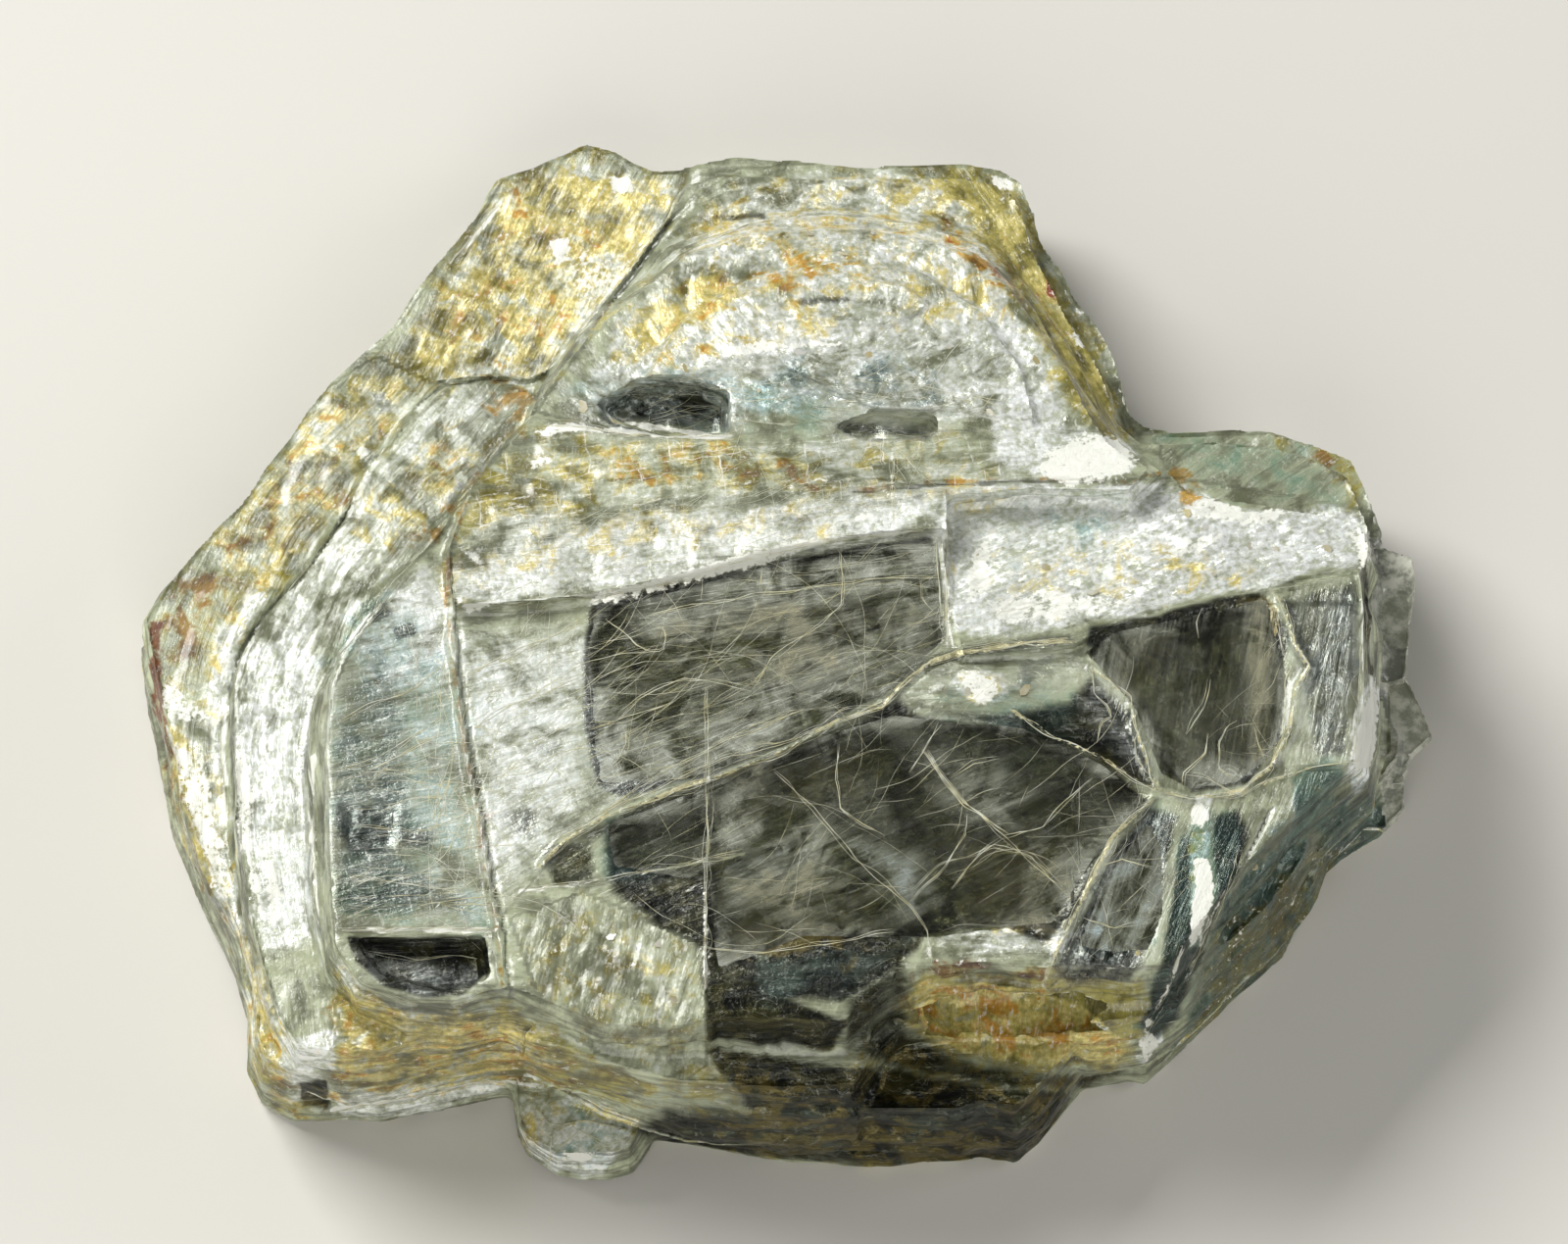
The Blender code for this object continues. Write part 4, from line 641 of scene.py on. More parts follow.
class CrystalSettings(bpy.types.PropertyGroup):
    grain: length("Grain", 0.00035, "Spacing of the points that carry the relief", 0.0001)
    leaf_step: length("Leaf step", 0.00022, "Height of one packet of leaves where it breaks off on the flats")
    ledge_depth: length("Ledge depth", 0.00042, "How far the leaves stand out of the walls")
    crumple: length("Crumple", 0.00020, "Height of the folds in the crumpled silver places")
    olive: tint("Olive", "#b4ba9b", "Unstained book seen at a slant")
    # Also the colour of the painted highlights in the silver marks.
    silver: tint("Silver", "#f3f6f4", "Split leaves that send light straight back")
    gold: tint("Gold", "#efdb88", "Stain of a thin iron film between leaves")
    ochre: tint("Ochre", "#e2b45c", "Stain of thick iron along breaks")
    rust: tint("Rust", "#b0683a", "Stain of the rust skin on the rims")
    # Painted shade: the colour painted where the depth of the clear book or a hollow lies in shade.
    depth_shade: tint("Depth", "#0d100a", "The inside of a clear book, where little light returns")
    steel: tint("Steel", "#a6c2c4", "Slate-blue stain of clear leaves over the dark")
    milk: tint("Milk", "#ccd3cd", "Fine white veil of tiny splits")
    # Also the colour of the painted highlights and of the white painted onto shaded walls.
    edge: tint("Leaf edge", "#f4f4ea", "White rim of a broken leaf")
    vein: tint("Vein", "#cfc99e", "Buckled line filled with clay and split mica")


class WindowSettings(bpy.types.PropertyGroup):
    thickness: length("Thickness", 0.0006, "Thickness of the clear sheet over a window", 0.0001)
    swell: length("Swell", 0.00006, "How far the sheet strays from flat")


class ThreadSettings(bpy.types.PropertyGroup):
    vein_girth: length("Vein girth", 0.000058, "Half width of a strand in a vein")
    hair_girth: length("Hair girth", 0.000018, "Half width of a loose hair")
    wander: length("Wander", 0.00022, "How far a strand strays from its vein")
    hairs: bpy.props.IntProperty(name="Hairs", description="Loose hairs over the clear places", default=850,
                                 min=0)
    seed: bpy.props.IntProperty(name="Seed", description="Start of the random placing", default=7)


class FlakeSettings(bpy.types.PropertyGroup):
    size: length("Size", 0.0009, "Half width of a large loose flake")
    count: bpy.props.IntProperty(name="Count", description="Loose flakes on the crumpled places", default=250,
                                 min=0)
    seed: bpy.props.IntProperty(name="Seed", description="Start of the random placing", default=3)


class StageSettings(bpy.types.PropertyGroup):
    floor: tint("Floor", "#d9d6cf", "Pale matt card under the crystal")
    key_power: bpy.props.FloatProperty(name="Key light", description="Strength of the large light behind",
                                       default=9.4, min=0.0, unit="POWER")
    fill_power: bpy.props.FloatProperty(name="Fill light", description="Strength of the soft light in front",
                                        default=3.8, min=0.0, unit="POWER")
    distance: length("Distance", 1.6, "From the camera to the crystal", 0.2)
    view_width: length("View width", 0.160, "Width of the view at the crystal", 0.01)


# ---------------------------------------------------------------- numbers on points


def dice(cells, seed):
    """A steady number from 0 to 1 for each whole-number cell."""
    mixed = cells[:, 0] * 374761393 + cells[:, 1] * 668265263 + cells[:, 2] * 1442695041 + seed * 1274126177
    mixed = (mixed ^ (mixed >> 13)) * 1274126177
    mixed = mixed ^ (mixed >> 16)
    return (mixed & 0xFFFFFF) / 0xFFFFFF


def lumps(points, size, seed=0):
    """Smooth noise from -1 to 1. size is the width of a lump in millimetres, one number or one per axis."""
    spot = points / np.asarray(size, float)
    cell = np.floor(spot).astype(np.int64)
    part = spot - cell
    part = part * part * (3 - 2 * part)
    total = np.zeros(len(points))
    for corner in np.ndindex(2, 2, 2):
        weight = np.prod(np.where(corner, part, 1 - part), axis=1)
        total += weight * dice(cell + np.array(corner), seed)
    return total * 2 - 1


def roughness(points, size, seed=0, octaves=3):
    total, most = np.zeros(len(points)), 0.0
    for i in range(octaves):
        total += lumps(points, np.asarray(size, float) / 2**i, seed + i) / 2**i
        most += 0.5**i
    return total / most


def eased(value, low, high):
    part = np.clip((value - low) / (high - low), 0, 1)
    return part * part * (3 - 2 * part)


def stepped(value, sharpness=0.16):
    """The value rounded to whole numbers, with a short slope at each step."""
    whole = np.floor(value)
    return whole + eased(value - whole, 1 - sharpness, 1)


def drawn_at(points):
    """Where points in millimetres show in the drawing: across and up."""
    placed = points - DRAWING_ORIGIN
    return np.stack([placed[:, 0], placed @ UP_THE_DRAWING], axis=1)


def gap_to(spots, path, closed):
    """Distance from each drawn spot to the nearest point of a path."""
    path = np.asarray(path, float)
    ends = np.roll(path, -1, axis=0) if closed else path[1:]
    best = np.full(len(spots), np.inf)
    for here, there in zip(path, ends):
        along = there - here
        share = np.clip((spots - here) @ along / max(along @ along, 1e-9), 0, 1)
        best = np.minimum(best, np.hypot(*(spots - here - share[:, None] * along).T))
    return best


def within(spots, rim):
    """Whether each drawn spot is inside a closed rim."""
    x, y = spots.T
    inside = np.zeros(len(spots), bool)
    for (x0, y0), (x1, y1) in zip(rim, rim[1:] + rim[:1]):
        if y0 != y1:
            crosses = (y0 > y) != (y1 > y)
            inside ^= crosses & (x < (x1 - x0) * (y - y0) / (y1 - y0) + x0)
    return inside


def depth_inside(spots, rim, reach):
    """How far inside the rim each drawn spot is, negative outside, worked out up to reach millimetres."""
    box = np.array(rim)
    near = np.all((spots > box.min(0) - reach) & (spots < box.max(0) + reach), axis=1)
    depth = np.full(len(spots), -float(reach))
    local = spots[near]
    gap = gap_to(local, rim, True)
    depth[near] = np.where(within(local, rim), gap, -np.minimum(gap, reach))
    return depth


def patches(spots, kind):
    """How strongly each drawn spot lies in the patches of one kind, from 0 to 1."""
    total = np.zeros(len(spots))
    for strength, soft, rim in PATCHES.get(kind, ()):
        depth = depth_inside(spots, pairs(rim), soft)
        total = np.maximum(total, strength * eased(depth, -soft, soft))
    return total


def strokes(spots, kind):
    """How strongly each drawn spot lies on the narrow marks of one kind, from 0 to 1."""
    total = np.zeros(len(spots))
    for strength, half_width, run in LINES.get(kind, ()):
        path = pairs(run)
        box = np.array(path)
        near = np.all((spots > box.min(0) - 3) & (spots < box.max(0) + 3), axis=1)
        gap = gap_to(spots[near], path, False)
        total[near] = np.maximum(total[near], strength * (1 - eased(gap, half_width * 0.5, half_width * 1.7)))
    return total


def beside(spots, path):
    """How far along a drawn path each spot is, and how far to the left of it."""
    path = np.asarray(path, float)
    along, across, best, run = np.zeros(len(spots)), np.zeros(len(spots)), np.full(len(spots), np.inf), 0.0
    for here, there in zip(path, path[1:]):
        way = there - here
        size = np.hypot(*way)
        share = np.clip((spots - here) @ way / size**2, 0, 1)
        off = spots - here - share[:, None] * way
        gap = np.hypot(*off.T)
        nearer = gap < best
        best[nearer] = gap[nearer]
        along[nearer] = (run + share * size)[nearer]
        across[nearer] = (gap * np.sign(way[0] * off[:, 1] - way[1] * off[:, 0]))[nearer]
        run += size
    return along, across


def lay_of(points):
    """Where points lie among the streaks, in millimetres: along them, across them, and up the crystal."""
    spots = drawn_at(points)
    lay = np.c_[spots, points[:, 2]]
    for kind, value, rim in FLOWS:
        inside = depth_inside(spots, pairs(rim), 0.5) > 0
        x, y = spots[inside].T
        if kind == "turned":
            turn = math.radians(value)
            pair = x * math.cos(turn) + y * math.sin(turn), y * math.cos(turn) - x * math.sin(turn)
        elif kind == "round":
            (across, up), squeeze = value
            pair = x * 1.6, np.hypot(x - across, (y - up) / squeeze) * 0.36
        elif kind == "fan":
            pair = np.hypot(x - value[0], y - value[1]), np.arctan2(y - value[1], value[0] - x) * 60.0
        else:
            pair = beside(spots[inside], pairs(value))
        lay[inside, 0], lay[inside, 1] = pair
    return lay


# ---------------------------------------------------------------- meshes


def mesh_object(name, points, faces):
    """An object whose points, in millimetres, are placed in its mesh."""
    data = bpy.data.meshes.new(name)
    data.from_pydata((np.asarray(points) * MM).tolist(), [], faces)
    obj = bpy.data.objects.new(name, data)
    bpy.context.scene.collection.objects.link(obj)
    return obj


def points_of(data):
    flat = np.empty(len(data.vertices) * 3, np.float32)
    data.vertices.foreach_get("co", flat)
    return flat.reshape(-1, 3).astype(float) / MM


def normals_of(data):
    flat = np.empty(len(data.vertices) * 3, np.float32)
    data.vertex_normals.foreach_get("vector", flat)
    return flat.reshape(-1, 3).astype(float)


def put_points(data, points):
    data.vertices.foreach_set("co", (points * MM).astype(np.float32).ravel())
    data.update()


def mark_mesh(data, marks, points):
    """Puts the named marks and the lay of the streaks on the mesh's points."""
    for name, values in marks.items():
        values = np.clip(values, 0, 1).astype(np.float32)
        data.attributes.new(name, "FLOAT", "POINT").data.foreach_set("value", values)
    lay = lay_of(points).astype(np.float32)
    data.attributes.new("lay", "FLOAT_VECTOR", "POINT").data.foreach_set("vector", lay.ravel())


def baked(obj, name):
    """A plain mesh of the object as its modifiers leave it. The object itself is removed."""
    graph = bpy.context.evaluated_depsgraph_get()
    data = bpy.data.meshes.new_from_object(obj.evaluated_get(graph), depsgraph=graph)
    data.name = name
    finished = bpy.data.objects.new(name, data)
    bpy.context.scene.collection.objects.link(finished)
    bpy.data.objects.remove(obj)
    return finished


def belongs(obj, *nodes):
    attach(obj, BODY)
    if nodes:
        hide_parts(*nodes)


def solid_copy(grain):
    """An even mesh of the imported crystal, close enough in its points to carry the relief."""
    source = frame["nodes"][NODE]
    welded = bmesh.new()
    welded.from_mesh(source.data)
    bmesh.ops.remove_doubles(welded, verts=welded.verts, dist=2e-6)
    data = bpy.data.meshes.new("welded")
    welded.to_mesh(data)
    welded.free()
    obj = bpy.data.objects.new("welded", data)
    bpy.context.scene.collection.objects.link(obj)
    remesh = obj.modifiers.new("even", "REMESH")
    remesh.mode = "VOXEL"
    remesh.voxel_size = grain
    remesh.adaptivity = 0
    return baked(obj, "relief")


def relief(points, normals, settings):
    """The moved points: leaves that break off on the flats, ledges down the walls, deeper windows."""
    spots = drawn_at(points)
    flat = eased(normals[:, 2], 0.80, 0.95)
    wall = 1 - eased(np.abs(normals[:, 2]), 0.35, 0.75)
    foot = eased(points[:, 2], 0.3, 1.6)
    in_plan = points * (1, 1, 0)
    rise = np.zeros(len(points))

    crumple = patches(spots, "crumple")
    clear = np.zeros(len(points))
    for rim, depth in WINDOWS.values():
        share = eased(depth_inside(spots, rim, 1.2), 0.1, 1.1) * (points[:, 2] > WINDOW_FLOOR)
        bed = depth * (0.85 + 0.25 * roughness(in_plan, 7, 61))
        rise -= share * bed
        clear = np.maximum(clear, share)

    for rim, mouth, left, right in FILLED:
        plan = drawn_at(points * (1, 1, 0) + (0, 0, mouth))
        ends = [min(x for x, _ in rim), max(x for x, _ in rim)]
        share = np.interp(plan[:, 0], ends, (left, right)) * eased(depth_inside(plan, rim, 1.5), -0.4, 0.7)
        share *= 0.8 + 0.35 * roughness(points, 1.8, 63)
        rise += share * np.clip(mouth - 0.1 - points[:, 2], 0, 9) * (points[:, 2] > mouth - 7)

    leaf = settings.leaf_step / MM
    front = eased(points[:, 2], 30.0, 30.5) * (spots[:, 1] < 2)
    broken = roughness(in_plan, (14, 9, 1), 11) * 2.0 + roughness(in_plan, (2.2, 2.2, 1), 12) * 0.18
    (across, up), squeeze, spacing = DOME_EYE
    on_dome = eased(depth_inside(spots, DOME_EDGE, 2.0), -1.0, 1.5)
    busy = np.clip(0.85 - 0.7 * front + 0.5 * crumple - 0.7 * on_dome, 0, 1.2) * (1 - clear)
    rise += flat * busy * leaf * (stepped(broken * 1.2, 0.3) - 1.0)

    ring = np.hypot(spots[:, 0] - across, (spots[:, 1] - up) / squeeze)
    ring = ring / spacing + 0.5 * roughness(in_plan, (7, 4, 1), 31)
    rise -= flat * on_dome * 0.08 * (stepped(ring, 0.25) - ring + 0.5)

    lay = lay_of(points)
    folds = 1 - np.abs(roughness(lay * (1, 1, 0), (3.6, 1.1, 1), 21, 3)) * 2.2
    rise += flat * crumple * (1 - clear) * settings.crumple / MM * folds

    (across, up), (half_x, half_y), height = MOUND
    bulge = ((spots[:, 0] - across) / half_x) ** 2 + ((spots[:, 1] - up) / half_y) ** 2
    rise += flat * height * np.clip(1 - bulge, 0, 1) ** 1.5 * (points[:, 2] > 29)

    groove = strokes(spots, "groove")
    rise -= flat * groove * 0.5
    rise += flat * strokes(spots, "vein") * 0.22 * (1 + 0.6 * roughness(in_plan, 1.2, 71))

    ledge = settings.ledge_depth / MM
    layered = roughness(points, (9, 9, 0.95), 41, 3)
    shelf = stepped(roughness(points, (14, 14, 2.6), 45, 2) * 2.4, 0.3) / 2.4
    chips = roughness(points, (1.6, 1.6, 0.8), 47, 2)
    sideways = wall * foot * ledge * (1.1 * layered + 0.9 * shelf + 0.35 * chips - 0.35)
    rusty = patches(spots, "ochre") * (points[:, 2] < 27) * (spots[:, 0] > 10) * (spots[:, 1] < -30)
    sideways += rusty * 0.7 * roughness(points, 2.2, 51, 3)
    curtain = eased(depth_inside(spots, CURTAIN, 1.5), -1, 1) * (1 - 0.5 * flat)
    sideways += curtain * 0.30 * lumps(points, (0.8, 30, 5), 53)

    level = normals.copy()
    level[:, 2] = 0
    level /= np.maximum(np.linalg.norm(level, axis=1), 1e-6)[:, None]
    moved = points + level * sideways[:, None]
    moved[:, 2] += rise
    return moved, clear


def marks_on(points, normals, clear):
    """The strength of each mark at each point, by name."""
    spots = drawn_at(points)
    wobble = np.stack([roughness(points, 5.0, 81), roughness(points, 5.0, 85)], axis=1) * 1.4
    loose = spots + wobble
    faces_eye = eased(normals @ TOWARDS_EYE, -0.15, 0.15)
    marks = {kind: patches(loose, kind) * faces_eye
             for kind in ("silver", "gold", "ochre", "rust", "blue", "crumple", "grid")}
    # The dark mark here is painted shade and the flash mark painted highlight; both keep closer to their
    # outlines.
    for kind in ("deep", "haze", "streak", "flash"):
        marks[kind] = patches(spots + wobble * 0.35, kind) * faces_eye
    away = 1 - faces_eye
    marks["gold"] += away * (0.30 + 0.25 * roughness(points, (14, 14, 5), 91))
    marks["ochre"] += away * np.clip(0.15 + 0.5 * roughness(points, (9, 9, 3), 93), 0, 1)
    marks["silver"] += away * (0.45 + 0.3 * roughness(points, (10, 10, 2), 95))
    marks["deep"] += away * np.clip(0.1 + 0.5 * roughness(points, (18, 18, 4), 97), 0, 1)
    # The windows are painted dark as well: painted shade for the depth of the clear book.
    marks["deep"] = np.maximum(marks["deep"], 0.95 * eased(clear, 0.02, 0.3))
    marks["groove"] = strokes(spots, "groove") * faces_eye
    marks["ochre"] = np.maximum(marks["ochre"], strokes(spots, "ochre") * faces_eye)
    marks["pale"] = strokes(spots + wobble * 0.25, "pale") * faces_eye
    marks["vein"] = strokes(spots + wobble * 0.12, "vein") * faces_eye
    marks["clear"] = clear
    marks["wall"] = (1 - eased(np.abs(normals[:, 2]), 0.45, 0.85)) * (1 - 0.6 * marks["crumple"])
    return marks


def cleaved(data, name, low, high):
    """The closed piece of the mesh between two levels, in millimetres. Its cut faces are flat and hidden."""
    piece = bmesh.new()
    piece.from_mesh(data)
    for level, keep_above in ((low, True), (high, False)):
        cut = bmesh.ops.bisect_plane(piece, geom=piece.verts[:] + piece.edges[:] + piece.faces[:], dist=1e-7,
                                     plane_co=(0, 0, level * MM), plane_no=(0, 0, 1),
                                     clear_inner=keep_above, clear_outer=not keep_above)
        rim = [e for e in cut["geom_cut"] if isinstance(e, bmesh.types.BMEdge)]
        if rim:
            bmesh.ops.triangle_fill(piece, use_beauty=False, edges=rim)
        if level == CLEAVED_AT[0]:
            for vertex in {v for e in rim for v in e.verts}:
                vertex.co.z = 0.0
    bmesh.ops.recalc_face_normals(piece, faces=piece.faces)
    book = bpy.data.meshes.new(name)
    piece.to_mesh(book)
    piece.free()
    for material in data.materials:
        book.materials.append(material)
    book.set_sharp_from_angle(angle=math.radians(48))
    obj = bpy.data.objects.new(name, book)
    bpy.context.scene.collection.objects.link(obj)
    return obj


# ---------------------------------------------------------------- materials


MATH, VECTOR, MIX, RANGE = "ShaderNodeMath", "ShaderNodeVectorMath", "ShaderNodeMix", "ShaderNodeMapRange"
NOISE, MARK = "ShaderNodeTexNoise", "ShaderNodeAttribute"
SKIN, BUMP = "ShaderNodeBsdfPrincipled", "ShaderNodeBump"
BLEND = {"data_type": "FLOAT"}  # Mix: 0 share, 2 and 3 the values
PAINT = {"data_type": "RGBA", "out": 2}  # Mix: 0 share, 6 the colour below, 7 the colour over it
SOFT = {"interpolation_type": "SMOOTHSTEP"}  # Map Range: value, then from, from, to, to
MICA_IOR = 1.58


def node(tree, kind, inputs=(), out=0, **settings):
    """Adds a node with its settings. inputs holds its sockets in order, or maps their names or numbers,
    each to a value or to an output."""
    made = tree.nodes.new(kind)
    for name, value in settings.items():
        setattr(made, name, value)
    for name, value in inputs.items() if isinstance(inputs, dict) else enumerate(inputs):
        if isinstance(value, bpy.types.NodeSocket):
            tree.links.new(value, made.inputs[name])
        elif made.inputs[name].type == "RGBA":
            made.inputs[name].default_value = (*value, 1.0)
        else:
            made.inputs[name].default_value = value
    return made.outputs[out]


def new_material(name):
    """A material without nodes, what adds a node to it, and the object's own coordinates."""
    material = bpy.data.materials.new(name)
    material.use_nodes = True
    material.node_tree.nodes.clear()
    add = partial(node, material.node_tree)
    return material, add, add("ShaderNodeTexCoord", out="Object")


def finish_material(material, surface, volume=None):
    tree = material.node_tree
    out = tree.nodes.new("ShaderNodeOutputMaterial")
    tree.links.new(surface, out.inputs["Surface"])
    if volume:
        tree.links.new(volume, out.inputs["Volume"])
    return material


def strewn(add, mark, noise, low=0.3, high=0.75, swing=2.4):
    """A mark of the mesh frayed by a noise: a full mark covers nearly all, a half one about half."""
    mark = add(MARK, attribute_name=mark, out="Fac")
    frayed = add(MATH, (noise, 0.5), operation="SUBTRACT")
    frayed = add(MATH, (frayed, swing, mark), operation="MULTIPLY_ADD")
    frayed = add(RANGE, (frayed, low, high), **SOFT)
    bare = add(RANGE, (mark, 0.0, 0.12), **SOFT)
    return add(MATH, (frayed, bare), operation="MULTIPLY")


def clouds(add, place, per_unit, detail, harshness=0.65, distortion=0.5):
    """Noise with its own number of lumps to a unit along each axis of the given coordinates."""
    mapped = add("ShaderNodeMapping", {"Vector": place, "Scale": per_unit})
    return add(NOISE, {"Vector": mapped, "Scale": 1.0, "Detail": detail, "Roughness": harshness,
                       "Distortion": distortion})


def splits(add, place, per_unit, width, detail=2.0, distortion=0.4):
    """Fine wandering lines, where a stretched noise crosses its middle value."""
    value = clouds(add, place, per_unit, detail, 0.55, distortion)
    off = add(MATH, (value, 0.5), operation="SUBTRACT")
    off = add(MATH, (off,), operation="ABSOLUTE")
    return add(RANGE, (off, width, width * 0.2))


def coarse_and_fine(add, coarse, fine):
    """Coarse lines with fainter fine ones between them."""
    fine = add(MATH, (fine, 0.6), operation="MULTIPLY")
    return add(MATH, (coarse, fine), operation="MAXIMUM")


def where_they_lie(add, kinds):
    """Several kinds of lines together, each kept to its own share of the surface."""
    lines = 0.0
    for kind, share in kinds:
        kind = add(MATH, (kind, share), operation="MULTIPLY")
        lines = add(MATH, (lines, kind), operation="MAXIMUM")
    return lines


def cleavage_cracks(add, lay, per_unit, width, out="Fac"):
    """Lines round blocks nearly square to the streaks, as where a book cracks, or the tone of each block."""
    stray = add(NOISE, {"Vector": lay, "Scale": 0.22, "Detail": 4.0}, out="Color")
    bent = add(VECTOR, (stray, (2.4, 2.4, 0.0), lay), operation="MULTIPLY_ADD")
    bent = add("ShaderNodeMapping", {"Vector": bent, "Scale": per_unit})
    return add("ShaderNodeTexBrick",
               {"Vector": bent, "Scale": 1.0, "Mortar Size": width, "Mortar Smooth": 0.5, "Brick Width": 1.0,
                "Row Height": 0.6, "Color1": (0.0, 0.0, 0.0), "Color2": (1.0, 1.0, 1.0),
                "Mortar": (0.5, 0.5, 0.5)}, out=out, offset=0.37)


def cleaved_mica(settings):
    """Muscovite mica, split by hand along its cleavage.

    Flat leaves shine like glass, split leaves lie over each other and turn silver, and the walls show the
    edges of hundreds of leaves as fine level lines. Iron has stained the breaks yellow to rust.
    """
    material, add, place = new_material("muscovite_cleaved_book")
    lay = add(MARK, attribute_name="lay", out="Vector")
    wall, haze, streak, grid, crumple, clear = (
        add(MARK, attribute_name=name, out="Fac")
        for name in ("wall", "haze", "streak", "grid", "crumple", "clear"))
    # Lumps: 4 mm and 2.4 mm clouds, streaks 6 by 1 mm, fibres 2 by 0.3 mm, grain 0.6 mm.
    cloud = clouds(add, place, (250.0, 250.0, 250.0), 7.0, 0.62, 0.5)
    other = clouds(add, place, (420.0, 420.0, 420.0), 6.0, 0.63, 0.6)
    drift = clouds(add, lay, (0.16, 1.0, 0.5), 6.0, 0.64, 0.8)
    felt = clouds(add, lay, (0.5, 3.3, 1.5), 4.0, 0.62, 0.5)
    grain = clouds(add, place, (1700.0, 1700.0, 1700.0), 3.0, 0.6, 0.0)
    tone = add(MIX, {0: 0.35, 2: cloud, 3: drift}, **BLEND)
    sparkle = add(MIX, {0: 0.45, 2: grain, 3: other}, **BLEND)
    sparkle = add(MIX, {0: 0.15, 2: sparkle, 3: felt}, **BLEND)

    share = add(RANGE, (tone, 0.38, 0.60), **SOFT)
    colour = add(MIX, {0: share, 6: linear("#6a6d55"), 7: settings.olive}, **PAINT)
    share = add(RANGE, (sparkle, 0.38, 0.58), **SOFT)
    bright = add(MIX, {0: share, 6: linear("#b2b79f"), 7: settings.silver}, **PAINT)
    # Silver leaves, with a few painted highlights among them.
    silver = strewn(add, "silver", tone)
    colour = add(MIX, {0: silver, 6: colour, 7: bright}, **PAINT)

    # Stains lie over each other like glazes. Each frays by its own noise.
    stains = {}
    for mark, noise, low, high, swing, hue in (("blue", cloud, 0.2, 0.9, 2.4, settings.steel),
                                               ("gold", other, 0.18, 0.80, 3.0, settings.gold),
                                               ("ochre", other, 0.4, 0.9, 3.4, settings.ochre),
                                               ("rust", other, 0.4, 0.9, 2.4, settings.rust)):
        stains[mark] = strewn(add, mark, noise, low, high, swing)
        colour = add(MIX, {0: stains[mark], 6: colour, 7: hue}, **PAINT, blend_type="MULTIPLY")

    # Painted shade: the clear places are painted dark for the dark inside they look into, and so are shaded
    # hollows, grooves and walls, tinted where a stain lies over them.
    share = add(RANGE, (tone, 0.44, 0.62), **SOFT)
    dark = add(MIX, {0: share, 6: settings.depth_shade, 7: linear("#403e20")}, **PAINT)
    for mark, most, hue in (("blue", 0.55, "#3f5350"), ("gold", 0.7, "#6e6230")):
        share = add(MATH, (stains[mark], most), operation="MULTIPLY")
        dark = add(MIX, {0: share, 6: dark, 7: linear(hue)}, **PAINT)
    deep = strewn(add, "deep", cloud, 0.2, 0.85, 1.5)
    colour = add(MIX, {0: deep, 6: colour, 7: dark}, **PAINT)

    # The edges of the leaves: level lines from 1 mm down to 0.1 mm apart, dark gaps and pale rims.
    leaves = clouds(add, place, (55.0, 55.0, 1500.0), 5.0, 0.72, 0.25)
    light = add(RANGE, (leaves, 0.36, 0.62, 0.46, 1.56), **SOFT)
    light = add(MIX, {0: wall, 2: 1.0, 3: light}, **BLEND)
    colour = add(VECTOR, {0: colour, 3: light}, operation="SCALE")

    # Blocks between the cleavage cracks, each of its own tone.
    wide, narrow = (0.12, 0.16, 0.0), (0.30, 0.34, 0.0)
    blocks = add(MIX, {0: 0.4, 2: cleavage_cracks(add, lay, wide, 0.0, "Color"),
                       3: cleavage_cracks(add, lay, narrow, 0.0, "Color")}, **BLEND)
    blocks = add(MATH, (blocks, 0.5, 0.72), operation="MULTIPLY_ADD")
    share = add(MATH, (silver, 0.45), operation="MULTIPLY")
    share = add(MATH, (grid, share), operation="MAXIMUM")
    blocks = add(MIX, {0: share, 2: 1.0, 3: blocks}, **BLEND)
    colour = add(VECTOR, {0: colour, 3: blocks}, operation="SCALE")

    # Splits inside the book, drawn as coarse as they show: long fibres, and cracks square to them.
    veil = add(MIX, {0: 0.4, 2: tone, 3: other}, **BLEND)
    veil = add(MIX, {0: 0.25, 2: veil, 3: felt}, **BLEND)
    veil = add(MATH, (add(RANGE, (veil, 0.42, 0.60), **SOFT), haze), operation="MULTIPLY")
    fibres = coarse_and_fine(add, splits(add, lay, (0.06, 0.8, 0.5), 0.010, 3.0, 0.6),
                             splits(add, lay, (0.2, 1.9, 1.0), 0.022, 4.0, 0.9))
    cracks = coarse_and_fine(add, cleavage_cracks(add, lay, wide, 0.012),
                             cleavage_cracks(add, lay, narrow, 0.020))
    web = splits(add, place, (330.0, 380.0, 300.0), 0.012, 4.0, 0.6)
    on_streaks = add(MATH, (haze, 0.7), operation="MULTIPLY")
    on_streaks = add(MATH, (streak, on_streaks), operation="MAXIMUM")
    on_grid = add(MATH, (grid, add(RANGE, (other, 0.42, 0.56), **SOFT)), operation="MULTIPLY")
    on_haze = add(MATH, (haze, 0.5, 0.15), operation="MULTIPLY_ADD")
    lines = where_they_lie(add, ((fibres, on_streaks), (cracks, on_grid), (web, on_haze)))
    for share in (add(RANGE, (cloud, 0.38, 0.54), **SOFT), 0.8):
        lines = add(MATH, (lines, share), operation="MULTIPLY")

    # Painted highlights: white glints strewn over the silver and the gold, and the marked flashes, painted
    # into the colour where light would catch single leaves.
    painted_glint = add(MIX, {0: 0.45, 2: felt, 3: grain}, **BLEND)
    painted_glint = add(RANGE, (painted_glint, 0.55, 0.61), **SOFT)
    lit = add(MATH, (stains["gold"], 0.6), operation="MULTIPLY")
    lit = add(MATH, (silver, lit), operation="MAXIMUM")
    for share in (lit, add(RANGE, (other, 0.44, 0.56), **SOFT),
                  add(MATH, (1.0, deep), operation="SUBTRACT"), 0.85):
        painted_glint = add(MATH, (painted_glint, share), operation="MULTIPLY")
